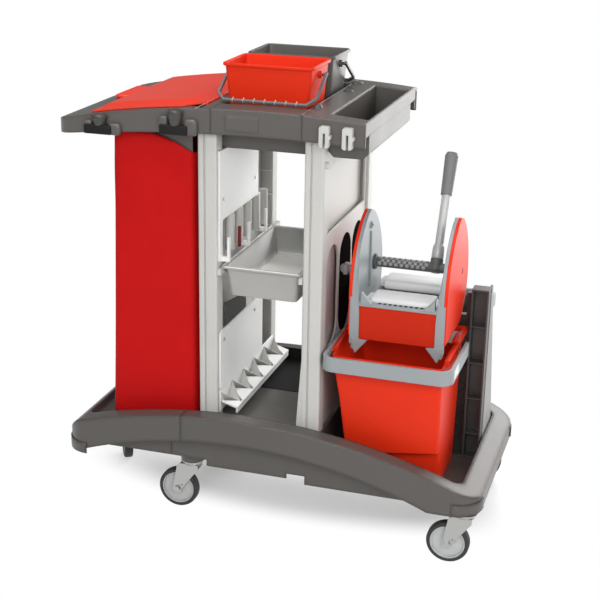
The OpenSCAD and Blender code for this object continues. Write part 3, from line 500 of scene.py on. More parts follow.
class CART_OT_uprights(bpy.types.Operator):
    """Upright panels, shelf runners, tray and tool holders"""
    bl_idname = "cart.uprights"
    bl_label = "Uprights"

    def execute(self, context):
        dress(["upright_left", "upright_right", "shelf_runners"], light())
        # The tray's outside is darkened as painted shade.
        dress(["shelf_tray"], tray_shaded())
        dress(["tool_holder_upper", "tool_holder_lower"], white())
        dress(["screws"], zinc())
        self.rack()
        self.windows()
        self.inner_face()
        self.pin()
        self.tray()
        return {"FINISHED"}

    def rack(self):
        """Lower holder: a plate over a row of pointed pockets."""
        lo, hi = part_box("tool_holder_lower")
        wall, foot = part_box("upright_left")[1].x, lo.z
        near, far = lo.y, hi.y
        seat, plate_thick, corner, count = 0.0005, 0.0045, 0.014, 5
        plate_far, plate_foot = near + 0.293, foot + 0.050
        holder = Shape()
        outline = [(near, plate_foot), (plate_far, plate_foot), (plate_far, hi.z), (near, hi.z)]
        holder.prism([(wall + seat, y, z) for y, z in rounded(outline, corner)], (plate_thick, 0, 0))
        holder.box((wall + seat, near, foot), (wall + 0.004, far, foot + 0.053), 0.001)
        step = (far - near) / count
        out_x, in_x = hi.x, wall + 0.006
        lip, root, tooth = foot + 0.012, foot + 0.024, 0.005
        for k in range(count + 1):
            here = near + k * step
            left, right = max(near, here - step / 2), min(far, here + step / 2)
            holder.prism([(out_x, left, lip), (out_x, right, lip), (in_x, here, root)], (0, 0, tooth))
        holder.box((out_x - 0.005, near, foot + 0.002), (out_x, far, foot + 0.017), 0.0015)
        holder.piece("tool_rack", white(), "cart")
        pockets = Shape()
        back, web = in_x - 0.001, 0.002
        for k in range(count):
            a, b = near + k * step, near + (k + 1) * step
            tip = (out_x - 0.006, (a + b) / 2, foot + 0.014)
            low = (back, (a + b) / 2, foot + 0.001)
            for y, thick in ((a, web), (b, -web)):
                pockets.prism([(back, y, foot + 0.048), tip, low], (0, thick, 0))
        rack = pockets.piece("tool_pockets", light(), "cart")
        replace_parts(rack, "tool_holder_lower")

    def windows(self):
        """Painted shade behind the far windows, and the pale back of the near one."""
        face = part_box("upright_right")[1].x
        foot, top, sheet = 0.400, 0.700, 0.001
        for name, material, depth, near, far in (("far_window_shade", deep_shade(), 0.008, -0.052, 0.168),
                                                 ("window_blank", window_grey(), 0.017, -0.160, -0.056)):
            back = Shape()
            back.box((face - depth, near, foot), (face - depth + sheet, far, top))
            back.piece(name, material, "cart")

    def inner_face(self):
        """Post ribs with a painted highlight, flutes, painted shade under the tray and a red insert on the
        left upright.
        """
        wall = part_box("upright_left")[1].x
        # The ribs are real; their white, paler than the upright, is a painted highlight along them.
        ribs = Shape()
        rib_near, rib_far, rib_tall = 0.1702, 0.1735, 0.0025
        for z in (0.856, 0.822, 0.760, 0.700, 0.622):
            ribs.box((wall - 0.040, rib_near, z), (wall - 0.001, rib_far, z + rib_tall), 0.0005)
        ribs.piece("post_ribs", white(), "cart")
        flutes = Shape()
        first, pitch, foot, top, radius = -0.128, 0.058, 0.648, 0.732, 0.011
        for k in range(5):
            x, y = wall - 0.0005, first + pitch * k
            flutes.rod((x, y, foot), (x, y, top), radius, sides=20)
        flutes.piece("upright_flutes", light(), "cart")
        # Painted shade: a dark grey sheet on the web, where the tray shades it.
        web_shade = Shape()
        corners = ((-0.165, 0.470), (-0.165, 0.530), (-0.020, 0.510), (-0.020, 0.450))
        web_shade.prism([(wall + 0.0003, y, z) for y, z in corners], (0.0005, 0, 0))
        web_shade.piece("web_painted_shade", web_shade_grey(), "cart")
        insert = Shape()
        insert.box((wall + 0.016, -0.122, 0.652), (wall + 0.022, -0.112, 0.700), 0.002)
        insert.piece("prong_insert", insert_red(), "cart")

    def pin(self):
        """Round pin on the right upright, under the trough."""
        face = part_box("upright_right")[1].x
        y, z, radius = -0.197, 0.878, 0.008
        pin = Shape()
        pin.rod((face - 0.001, y, z), (face + 0.007, y, z), radius, cap=0.003)
        pin.piece("upright_pin", light(), "cart")

    def tray(self):
        """Painted light: a pale skin just inside the tray, and a painted highlight along its rim."""
        node = NODES["shelf_tray"]
        lo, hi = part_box("shelf_tray")
        centre = Vector(((lo.x + hi.x) / 2, (lo.y + hi.y) / 2, hi.z))
        place = node.matrix_world
        turn = place.to_3x3()
        inward, lift, weld = 0.008, 0.0004, 0.0006
        lit_skin = Shape()
        for face in node.data.polygons:
            normal = (turn @ face.normal).normalized()
            if normal.dot(centre - place @ face.center) > inward:
                corners = [place @ node.data.vertices[i].co + normal * lift for i in face.vertices]
                lit_skin.bm.faces.new([lit_skin.bm.verts.new(corner) for corner in corners])
        bmesh.ops.remove_doubles(lit_skin.bm, verts=lit_skin.bm.verts, dist=weld)
        skin = lit_skin.piece("tray_lit_skin", tray_lit(), "shelf")
        film = skin.modifiers.new("film thickness", "SOLIDIFY")
        film.thickness = 0.0003
        # Painted highlight: thin white rods along the tray's left and front rim.
        rim = Shape()
        inset, end, level = 0.003, 0.010, hi.z - 0.0012
        rim.rod((lo.x + inset, lo.y + end, level), (lo.x + inset, hi.y - end, level), 0.0022, sides=12)
        rim.rod((lo.x + end, lo.y + inset, level), (hi.x - end, lo.y + inset, level), 0.0026, sides=12)
        rim.piece("tray_rim", white(), "shelf")


class CART_OT_top_frame(bpy.types.Operator):
    """Top frame, broom holders, clips and lid"""
    bl_idname = "cart.top_frame"
    bl_label = "Top frame"

    def execute(self, context):
        dress(["frame_left", "frame_middle", "frame_right"], dark(0.008))
        dress(["handle_clips"], light())
        dress(["lid_pin"], zinc())
        self.lid()
        self.broom_holders()
        self.fittings()
        return {"FINISHED"}

    def lid(self):
        """Domed lid with a flat lip, cut corners at the hinge and a finger tab."""
        lo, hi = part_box("lid")
        start, hinge, half = lo.x + 0.014, hi.x - 0.006, hi.y
        cut, lip, slope, thick, rise, seat = 0.038, 0.010, 0.020, 0.005, 0.0075, 0.0006
        edge_share, edge_run, count = 0.6, 0.006, 48
        top, bottom = [], []
        for i in range(count + 1):
            x = start + (hinge - start) * i / count
            base = frame_top(x) + seat
            side = half - max(0.0, x - (hinge - cut))
            over, under = [], []
            for j in range(count + 1):
                y = side * (2 * j / count - 1)
                inside = min(x - start, hinge - x, side - abs(y))
                skin = thick * min(1.0, edge_share + inside / edge_run)
                over.append((x, y, base + skin + rise * ease((inside - lip) / slope)))
                under.append((x, y, base))
            top.append(over)
            bottom.append(under)
        shape = Shape()
        shape.slab(top, bottom)
        barrel = frame_top(hinge) - 0.001
        shape.rod((hinge, cut - half, barrel), (hinge, half - cut, barrel), 0.006)
        tab, tab_half = frame_top(start), 0.062
        shape.box((lo.x, -tab_half, tab + 0.003), (start + 0.020, tab_half, tab + 0.014), 0.004)
        cover = shape.piece("bag_lid", lid_red(), "lid", angle=50)
        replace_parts(cover, "lid")

    def broom_holders(self):
        """Rounded bracket blocks with a stub and a grip between them."""
        lo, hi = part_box("broom_brackets")
        face = -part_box("frame_middle")[1].y
        out, back, stub_y, stub_r = face - 0.012, face + 0.004, face - 0.004, 0.0175
        blocks, stubs, pads = Shape(), Shape(), Shape()
        for x in (lo.x + 0.037, hi.x - 0.049):
            top, foot = frame_top(x), frame_foot(x)
            blocks.box((x - 0.038, out, foot - 0.004), (x - 0.017, back, top - 0.016), 0.006, segments=4)
            blocks.box((x + 0.020, out, foot - 0.004), (x + 0.050, back, top - 0.019), 0.008, segments=4)
            pads.box((x - 0.034, face - 0.017, foot - 0.002), (x + 0.030, face + 0.002, foot + 0.019), 0.003)
            stubs.rod((x, stub_y, foot + 0.014), (x, stub_y, top - 0.006), 0.012, stub_r, cap=0.002)
            stubs.rod((x, stub_y, top - 0.007), (x, stub_y, top + 0.001), stub_r, 0.017, cap=0.006)
        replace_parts(blocks.piece("broom_blocks", dark(0.002), "cart"), "broom_brackets")
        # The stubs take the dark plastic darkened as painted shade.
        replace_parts(stubs.piece("broom_stubs", stub_shaded(), "cart"), "broom_knobs")
        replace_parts(pads.piece("broom_grips", black(), "cart"), "broom_pads")

    def fittings(self):
        """Buttons on the strip beside the trough and the lip at its far corner."""
        lo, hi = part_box("frame_right")
        shape = Shape()
        buttons = ((0.082, -0.143, 0.009, 0.009), (0.089, 0.078, 0.011, 0.003), (0.080, 0.187, 0.014, 0.004))
        for x, y, radius, tall in buttons:
            rings = [(0, radius + 0.002), (tall * 0.7, radius), (tall, radius * 0.7),
                     (tall + 0.001, radius * 0.2)]
            shape.lathe((x, y, frame_top(x) - 0.001), (0, 0, 1), rings)
        end, out = hi.x, hi.y + 0.020
        top = frame_top(end)
        shape.box((end - 0.070, hi.y - 0.006, top - 0.012), (end, out, top - 0.003), 0.002)
        shape.box((end - 0.014, hi.y + 0.013, top - 0.058), (end, out, top - 0.004), 0.002)
        shape.piece("frame_fittings", dark(0.002), "cart")


class CART_OT_buckets(bpy.types.Operator):
    """Buckets with their handles and the divider"""
    bl_idname = "cart.buckets"
    bl_label = "Buckets"

    def execute(self, context):
        dress(["slim_bucket"], dark(0.002))
        self.small_pail("bucket_near", "small_near", red())
        self.small_pail("bucket_far", "small_far", dark(0.002))
        # The divider is darkened as painted shade.
        dress(["divider"], divider_shaded())
        dress(["mop_handle", "slim_handle"], grey())
        self.mop_pail()
        self.handle_patch()
        self.cheek()
        self.bail("bail_near", "small_near_bail", -1, steel_grey())
        self.bail("bail_far", "small_far_bail", 1, dark(0.001))
        return {"FINISHED"}

    def small_pail(self, node, body, material):
        """Thin-walled small bucket with crisp corners and a thin lip."""
        lo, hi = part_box(node)
        middle, depth_mid = (lo.x + hi.x) / 2, (lo.y + hi.y) / 2
        half_x, half_y = (hi.x - lo.x) / 2, (hi.y - lo.y) / 2
        tall = hi.z - lo.z

        def loop(t, inset_x, inset_y, radius):
            a, b = half_x - inset_x, half_y - inset_y
            corners = [(middle - a, depth_mid - b), (middle + a, depth_mid - b),
                       (middle + a, depth_mid + b), (middle - a, depth_mid + b)]
            return [(q.x, q.y, lo.z + tall * t) for q in rounded(corners, radius, 4)]

        outside = [loop(0.001, 0.023, 0.018, 0.008), loop(0.52, 0.0125, 0.0110, 0.009),
                   loop(0.955, 0.0055, 0.0055, 0.010)]
        lip = [loop(0.958, 0.0010, 0.0010, 0.013), loop(0.972, 0.0002, 0.0002, 0.014),
               loop(0.990, 0.0004, 0.0004, 0.014), loop(0.998, 0.0030, 0.0030, 0.012)]
        inside = [loop(0.992, 0.0075, 0.0075, 0.009), loop(0.95, 0.0085, 0.0085, 0.008),
                  loop(0.52, 0.0155, 0.0140, 0.007), loop(0.022, 0.026, 0.021, 0.006)]
        shell = Shape()
        shell.loft(outside + lip + inside)
        boss_z, boss_half, boss_radius = hi.z - 0.025, 0.005, 0.008
        for side in (-1, 1):
            x = middle + side * (half_x - 0.007)
            shell.rod((x - boss_half, depth_mid, boss_z), (x + boss_half, depth_mid, boss_z), boss_radius)
        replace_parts(shell.piece(node + "_shell", material, body, angle=32), node)

    def mop_pail(self):
        """Crisp-cornered mop bucket: set-back foot, low near edge, rolled rim on the other sides."""
        lo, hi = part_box("mop_bucket")
        middle, depth_mid = (lo.x + hi.x) / 2, (lo.y + hi.y) / 2
        foot, rim = lo.z, hi.z
        tall = rim - foot
        near_top, side_top = rim - 0.020, rim - 0.003
        wall, set_back = 0.003, 0.022

        def outline(z, inset, back):
            t = (z - foot) / tall
            left = middle - 0.084 - 0.047 * t + inset
            right = middle + 0.116 + 0.004 * t - inset
            reach = 0.098 + 0.020 * t - inset
            near, far = depth_mid - reach + (set_back if back else 0.0), depth_mid + reach
            corners = [(left, near), (right, near), (right, far), (left, far)]
            return [(p.x, p.y) for p in rounded(corners, 0.007, 4)]

        def step(x):
            return foot + 0.072 + 0.028 * ease((x - middle) / 0.13)

        def edge(y):
            return near_top + (side_top - near_top) * ease((y - (depth_mid - 0.105)) / 0.05)

        def level(height, inset=0.0, back=False):
            return [(x, y, height) for x, y in outline(height, inset, back)]

        def ledge(height, lift, inset, back):
            return [(x, y, step(x) + lift) for x, y in outline(foot + height, inset, back)]

        def mouth(inset, lift=0.0):
            return [(x, y, edge(y) + lift) for x, y in outline(side_top, inset, False)]

        floor = [(x, y, foot + 0.0006) for x, y in outline(foot, 0.0, True)]
        shell = Shape()
        outside = [floor, ledge(0.088, -0.002, 0.0, True), ledge(0.092, 0.002, 0.0, False), level(foot + 0.2)]
        lip = [mouth(0.0), mouth(wall / 2, 0.0008), mouth(wall)]
        inside = [ledge(0.096, 0.006, wall, False), ledge(0.091, 0.002, wall, True),
                  level(foot + 0.006, wall, True)]
        shell.loft(outside + lip + inside)
        left, right = middle - 0.131, middle + 0.120
        near, back, rim_drop = depth_mid - 0.080, depth_mid + 0.117, 0.010
        roll = [(-0.003, 0.003), (-0.009, 0.001), (-0.010, -0.008), (-0.006, -0.014), (0.001, -0.012),
                (0.003, 0.001)]
        shell.sweep([(left + 0.001, near, side_top - rim_drop), (left, back, side_top),
                     (right, back, side_top), (right - 0.001, near, side_top - rim_drop)], (0, 0, 1), roll)
        boss_y, boss_z = depth_mid + 0.040, rim - 0.032
        for side, face in ((-1, left), (1, right)):
            a, b = sorted((face - side * 0.002, face + side * 0.006))
            shell.rod((a, boss_y, boss_z), (b, boss_y, boss_z), 0.013)
        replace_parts(shell.piece("mop_pail_shell", red(), "mop_pail", angle=32), "mop_bucket")

    def handle_patch(self):
        """White patch on the right arm of the mop bucket's handle."""
        lo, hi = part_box("mop_handle")
        patch = Shape()
        patch.box((hi.x - 0.0001, lo.y + 0.032, lo.z + 0.006), (hi.x + 0.0004, lo.y + 0.082, hi.z - 0.005))
        patch.piece("handle_patch", white(), "mop_pail_handle")

    def cheek(self):
        """Painted light: a tapered pale sheet on the end face of the divider, which faces the light from the
        right.
        """
        lo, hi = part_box("divider")
        x, near, foot, top = hi.x + 0.0002, hi.y - 0.126, lo.z + 0.004, hi.z - 0.002
        outline = [(near, foot), (hi.y - 0.002, foot), (hi.y - 0.008, lo.z + 0.060), (near + 0.018, top),
                   (near, top)]
        cheek = Shape()
        cheek.prism([(x, y, z) for y, z in outline], (0.0010, 0, 0))
        cheek.piece("divider_lit_face", cheek_painted_light(), "cart")

    def bail(self, node, body, side, material):
        """Flat strip bail with cut corners and a ribbed grip."""
        lo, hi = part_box(node)
        middle = (lo.x + hi.x) / 2
        half = (hi.x - lo.x) / 2 - 0.004
        pin = Vector((middle, hi.y - 0.004 if side < 0 else lo.y + 0.004, hi.z - 0.004))
        grip = Vector((middle, lo.y + 0.006 if side < 0 else hi.y - 0.006, lo.z + 0.005))
        down = (grip - pin).normalized()
        reach = (grip - pin).length
        out = Vector((1, 0, 0))
        across = out.cross(down) * -side
        bend, tail = 0.022, 0.006
        shoulder = half - bend * 0.8
        path = [pin - out * half - down * tail, pin - out * half + down * (reach - bend),
                pin - out * shoulder + down * reach, pin + out * shoulder + down * reach,
                pin + out * half + down * (reach - bend), pin + out * half - down * tail]
        wide, flat, deep, rise = 0.0030, 0.0024, 0.0034, 0.0026
        section = [(-flat, -deep), (flat, -deep), (wide, -rise), (wide, rise),
                   (flat, deep), (-flat, deep), (-wide, rise), (-wide, -rise)]
        strip = Shape()
        strip.sweep(path, across, section)
        for end in (-1, 1):
            strip.rod(pin + out * end * (half - 0.012), pin + out * end * (half + 0.003), 0.0035)
        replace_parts(strip.piece("strip_" + node, material, body), node)
        ribs = Shape()
        pitch, half_rib = 0.024, Vector((0.0055, 0.0036, 0.0008))
        turn = across.to_track_quat("Y", "X").to_matrix().to_4x4()
        for k in range(7):
            spot = grip + out * (k - 3) * pitch - down * flat
            ribs.box(spot - half_rib, spot + half_rib, 0.0004, turn=turn)
        ribs.piece("ribs_" + node, light() if side < 0 else material, body)


class CART_OT_wringer(bpy.types.Operator):
    """Wringer with its covers, press plates and lever"""
    bl_idname = "cart.wringer"
    bl_label = "Wringer"

    def execute(self, context):
        dress(["wringer_frame", "wringer_tray"], grey())
        dress(["wringer_covers"], red())
        # The wringer front takes the red darkened as painted shade.
        dress(["wringer_front"], red_shaded())
        dress(["lever_tube"], tube_grey())
        dress(["lever_grip"], grip_grey())
        self.presses()
        self.shaft()
        self.trim()
        self.ears()
        self.slots()
        return {"FINISHED"}

    def presses(self):
        """Rounded press bars with narrow end lugs."""
        for node, body in (("press_fixed", "wringer"), ("press_moving", "press")):
            lo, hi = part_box(node)
            bar = Shape()
            body_end, lug_end, nose_end = 0.012, 0.002, 0.060
            bar.box((lo.x + body_end, lo.y + 0.004, lo.z + 0.001),
                    (hi.x - body_end, hi.y - 0.002, hi.z + 0.003), 0.010, segments=4)
            bar.box((lo.x + lug_end, lo.y + 0.016, lo.z + 0.003),
                    (hi.x - lug_end, hi.y - 0.018, hi.z - 0.002), 0.005)
            bar.box((lo.x + nose_end, hi.y - 0.012, lo.z + 0.004),
                    (hi.x - nose_end, hi.y, hi.z - 0.003), 0.004)
            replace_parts(bar.piece(node + "_bar", white(), body), node)

    def shaft(self):
        """Cross shaft with rows of studs, an end flange and the lever's socket."""
        lo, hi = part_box("wringer_covers")
        cover = 0.0155
        left, right = lo.x + cover, hi.x - cover
        y = (lo.y + hi.y) / 2 + 0.044
        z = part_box("mop_bucket")[1].z + 0.146
        lever_x = (lo.x + hi.x) / 2 + 0.049
        lean = math.radians(27.0)
        up = Vector((0, math.sin(lean), math.cos(lean)))
        core = Vector((lever_x, y, z))
        bar = Shape()
        bar.rod((left, y, z), (right, y, z), 0.0115)
        bar.rod((lo.x + 0.001, y, z), (hi.x - 0.001, y, z), 0.006)
        bar.lathe((left + 0.0005, y, z), (1, 0, 0), [(0, 0.018), (0.004, 0.018), (0.007, 0.013)])
        bar.lathe(core, up, [(-0.012, 0.010), (-0.006, 0.015), (0.020, 0.0145), (0.022, 0.012)])
        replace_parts(bar.piece("stud_shaft", shaft_grey(), "lever"), "wringer_shaft")
        studs = Shape()
        first, pitch, seat, clear = left + 0.014, 0.0128, 0.0105, 0.017
        for row, angle in enumerate((10.0, 50.0, 90.0, -35.0)):
            turn = math.radians(angle)
            out = Vector((0, -math.sin(turn), math.cos(turn)))
            for k in range(10):
                x = first + k * pitch + (pitch / 2 if row % 2 else 0.0)
                if x < lever_x - clear:
                    spot = Vector((x, y, z)) + out * seat
                    studs.lathe(spot, out, [(0, 0.0050), (0.0020, 0.0042), (0.0030, 0.0020)], 10)
        studs.piece("shaft_studs", stud_grey(), "lever")
        collar = Shape()
        rings = [(0, 0.0125), (0.002, 0.0140), (0.028, 0.0135), (0.032, 0.0118), (0.034, 0.0105)]
        collar.lathe(core + up * 0.020, up, rings)
        collar.piece("lever_collar", tube_grey(), "lever")

    def band(self, shape, corner, side, near, foot, rail, top):
        """Flange along the near edge of a shield, wide below and narrow at the tip."""
        spring, half = rail - 0.002, 0.120
        rise = top - spring
        radius = (half * half + rise * rise) / (2 * half)
        straight, tip, wide, narrowing = 0.4, math.radians(60.0), 0.021, 0.011
        set_out, set_in, thick, rows = 0.0006, 0.004, 0.006, 24
        outer, inner = [], []
        for i in range(rows + 1):
            t = i / rows
            width = wide - narrowing * ease((t - 0.25) / 0.6)
            if t < straight:
                lean = 0.0
                y, z = near - set_out, foot + (spring - foot) * t / straight
            else:
                lean = (t - straight) / (1 - straight) * tip
                y, z = near - set_out + radius * (1 - math.cos(lean)), spring + radius * math.sin(lean)
            inward = Vector((0, math.cos(lean), -math.sin(lean))) * thick
            points = [Vector((corner + side * (width * k / 2 - set_in), y, z)) for k in range(3)]
            outer.append(points)
            inner.append([p + inward for p in points])
        shape.slab(outer, inner)

    def shields(self):
        """Inner faces of the two shields, each with the side that looks inwards."""
        lo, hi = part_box("wringer_covers")
        inset = 0.015
        return (lo.x + inset, 1), (hi.x - inset, -1)

    def trim(self):
        """Small mouldings of the frame: ribs, screw bosses, flanges, gussets, feet and the side clip."""
        lo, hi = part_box("wringer_covers")
        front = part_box("wringer_front")
        near, middle = lo.y, (lo.y + hi.y) / 2
        rail, foot = front[1].z + 0.008, front[0].z
        boss_z, cover, thick = hi.z - 0.036, 0.008, 0.012
        shape = Shape()
        for x, side in self.shields():
            a, b = sorted((x - side * 0.001, x + side * 0.004))
            shape.box((a, middle - 0.004, rail), (b, middle + 0.004, hi.z - 0.050), 0.0015)
            shape.rod((x - side * 0.001, middle, boss_z), (x + side * 0.0035, middle, boss_z), 0.008)
            corner = x - side * cover
            self.band(shape, corner, side, near, foot - 0.012, rail, hi.z)
            gusset = ((0.020, rail - 0.003), (0.046, rail - 0.003), (0.020, rail + 0.024))
            shape.prism([(corner + side * u, near - 0.0006, z) for u, z in gusset], (0, thick, 0))
            toe = ((0.001, foot - 0.014), (0.010, foot - 0.034), (0.036, foot - 0.002), (0.001, foot + 0.002))
            shape.prism([(corner + side * u, near - 0.0012, z) for u, z in toe], (0, thick, 0))
        clip = lo.x + 0.007
        shape.box((clip - 0.055, middle - 0.028, rail + 0.034),
                  (clip - 0.005, middle - 0.012, rail + 0.052), 0.005)
        shape.box((clip - 0.048, middle - 0.034, rail + 0.030),
                  (clip - 0.034, middle - 0.008, rail + 0.056), 0.005)
        shape.piece("wringer_trim", grey(), "wringer")

    def ears(self):
        """Red ears by which the wringer rests on the bucket's rim."""
        lo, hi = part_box("wringer_covers")
        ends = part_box("wringer_frame")
        rim, middle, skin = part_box("mop_bucket")[1].z, (lo.y + hi.y) / 2, 0.0004
        ears = Shape()
        for a, b in ((ends[0].x - skin, lo.x), (hi.x, ends[1].x + skin)):
            ears.box((a, middle - 0.0404, rim + 0.0002), (b, middle + 0.0204, rim + 0.0084), 0.001)
        # The ears take the red darkened as painted shade.
        ears.piece("wringer_ears", red_shaded(), "wringer")

    def slots(self):
        """Black as painted shade in the screw sockets and the row of drain slots."""
        lo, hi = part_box("wringer_covers")
        near, middle = lo.y, (lo.y + hi.y) / 2
        rail, boss_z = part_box("wringer_front")[1].z + 0.008, hi.z - 0.036
        holes = Shape()
        for x, side in self.shields():
            holes.rod((x + side * 0.0034, middle, boss_z), (x + side * 0.0042, middle, boss_z), 0.0035)
        first, pitch, wide = lo.x + 0.065, 0.0118, 0.006
        for k in range(11):
            x = first + k * pitch
            holes.box((x, near + 0.004, rail - 0.001), (x + wide, near + 0.013, rail + 0.0005))
        holes.piece("wringer_slot_shade", black(), "wringer")


class CART_OT_bag(bpy.types.Operator):
    """Soft waste bag hanging from the loop"""
    bl_idname = "cart.bag"
    bl_label = "Bag"

    def execute(self, context):
        self.shade_sheet(self.skin())
        self.tabs()
        return {"FINISHED"}

    def folds(self, x, y, z, t):
        """Depth of the slow folds at a point of the skin, none near the top."""
        wave = noise.noise(Vector((x * 16, y * 16, z * 1.6)))
        wave += 0.5 * noise.noise(Vector((x * 34, y * 34, z * 2.4 + 3)))
        depth = sizes().fold * (0.55 + 0.45 * (1 - t))
        belly = 0.35 + 0.65 * math.sin(math.pi * min(1, 0.05 + t))
        return depth * (wave - 0.9) * belly * (1 - ease((t - 0.75) / 0.15))

    def skin(self):
        """Open skin with rounded corners, a pinched floor and a rim that drops towards the uprights."""
        lo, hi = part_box("bag")
        around, rows, power = 220, 96, 0.16
        floor, top = lo.z + 0.001, hi.z + 0.030
        lean, gap, spread, sag, rim_start = 0.024, 0.001, 0.002, 0.046, 0.9
        verts, faces = [], []
        for j in range(rows + 1):
            t = j / rows
            z = floor + (top - floor) * t
            left, right = lo.x + lean * t + gap, hi.x - gap
            half_x, half_y = (right - left) / 2, hi.y + spread * ease((t - 0.7) / 0.2)
            pinch = 0.012 * max(0.0, 1 - t / 0.03) ** 2
            for i in range(around):
                a = 2 * math.pi * i / around
                c, s = math.cos(a), math.sin(a)
                x = (left + right) / 2 + math.copysign(abs(c) ** power, c) * (half_x - pinch)
                y = math.copysign(abs(s) ** power, s) * (half_y - pinch)
                inward = self.folds(x, y, z, t)
                x += c * inward
                y += s * inward
                drop = 0.0
                if t > rim_start:
                    along = max(0.0, (x - left) / (right - left) - 0.5) * 2
                    drop = sag * ease(along * 0.8) * (t - rim_start) / (1 - rim_start)
                verts.append((x, y, z - drop))
        for j in range(rows):
            for i in range(around):
                k = (i + 1) % around
                low, high = j * around, (j + 1) * around
                faces.append((low + i, low + k, high + k, high + i))
        faces.append(tuple(reversed(range(around))))
        mesh = bpy.data.meshes.new("waste_bag")
        mesh.from_pydata(verts, [], faces)
        mesh.validate()
        mesh.update()
        mesh.shade_smooth()
        bag = mesh_object("waste_bag", mesh, bag_cloth(), "cart")
        shell = bag.modifiers.new("cloth thickness", "SOLIDIFY")
        shell.thickness = 0.0012
        shell.offset = -1
        return bag

    def shade_sheet(self, bag):
        """Painted shade: a dark sheet inside the bag, seen behind the dropped rim; the skin takes the place
        of the plain bag.
        """
        lo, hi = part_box("bag")
        shade_sheet = Shape()
        shade_sheet.box((hi.x - 0.140, lo.y + 0.004, hi.z - 0.060), (hi.x - 0.010, lo.y + 0.006, hi.z + 0.034))
        shade_sheet.piece("bag_inside_shade", dark(0.001), "cart")
        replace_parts(bag, "bag")

    def tabs(self):
        """Four tabs by which the bag hangs."""
        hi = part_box("bag")[1]
        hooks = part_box("bag_hooks")
        inset, half = 0.020, 0.012
        tabs = Shape()
        for x in (hooks[0].x + inset, hooks[1].x - inset):
            for side in (-1, 1):
                a, b = sorted((side * (hi.y - 0.010), side * (hi.y - 0.006)))
                tabs.box((x - half, a, hi.z - 0.030), (x + half, b, hi.z + 0.034), 0.001)
        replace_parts(tabs.piece("bag_tabs", dark(0.001), "cart"), "bag_hooks")


def area_light(name, place, aim, size, power, mirrored=True):
    """Rectangular soft light; one that isn't mirrored stays out of reflections."""
    data = bpy.data.lights.new(name, "AREA")
    data.shape = "RECTANGLE"
    data.size, data.size_y = size
    data.energy = power
    lamp = bpy.data.objects.new(name, data)
    lamp.location = place
    lamp.visible_camera = False
    lamp.visible_glossy = mirrored
    lamp.rotation_mode = "QUATERNION"
    lamp.rotation_quaternion = (Vector(aim) - Vector(place)).to_track_quat("-Z", "Y")
    bpy.context.scene.collection.objects.link(lamp)


def floor_material():
    """Pale floor that fades to plain white away from the cart for the camera and in reflections."""
    half_x, half_y, centre_x, centre_y = 0.64, 0.27, 0.04, 0.11
    mat = bpy.data.materials.new("studio_floor")
    mat.use_nodes = True
    tree = mat.node_tree
    link = tree.links.new
    bsdf = tree.nodes["Principled BSDF"]
    bsdf.inputs["Roughness"].default_value = 0.9
    bsdf.inputs["Base Color"].default_value = (0.86, 0.86, 0.86, 1)
    bsdf.inputs["Specular IOR Level"].default_value = 0.0
    glow = node_of(tree, "ShaderNodeEmission", Strength=1.0)
    coord = tree.nodes.new("ShaderNodeTexCoord")
    oval = tree.nodes.new("ShaderNodeVectorMath")
    oval.operation = "MULTIPLY_ADD"
    oval.inputs[1].default_value = (1 / half_x, 1 / half_y, 1)
    oval.inputs[2].default_value = (-centre_x / half_x, -centre_y / half_y, 0)
    reach = tree.nodes.new("ShaderNodeVectorMath")
    reach.operation = "LENGTH"
    fade = node_of(tree, "ShaderNodeMapRange", From_Min=0.70, From_Max=1.08, To_Min=0.30, To_Max=1.0)
    fade.interpolation_type = "SMOOTHSTEP"
    path = tree.nodes.new("ShaderNodeLightPath")
    seen = tree.nodes.new("ShaderNodeMath")
    seen.operation = "MAXIMUM"
    share = tree.nodes.new("ShaderNodeMath")
    share.operation = "MULTIPLY"
    mix = tree.nodes.new("ShaderNodeMixShader")
    link(coord.outputs["Object"], oval.inputs[0])
    link(oval.outputs["Vector"], reach.inputs[0])
    link(reach.outputs["Value"], fade.inputs["Value"])
    link(path.outputs["Is Camera Ray"], seen.inputs[0])
    link(path.outputs["Is Glossy Ray"], seen.inputs[1])
    link(seen.outputs[0], share.inputs[0])
    link(fade.outputs["Result"], share.inputs[1])
    link(share.outputs[0], mix.inputs["Fac"])
    link(bsdf.outputs["BSDF"], mix.inputs[1])
    link(glow.outputs["Emission"], mix.inputs[2])
    link(mix.outputs["Shader"], tree.nodes["Material Output"].inputs["Surface"])
    return mat


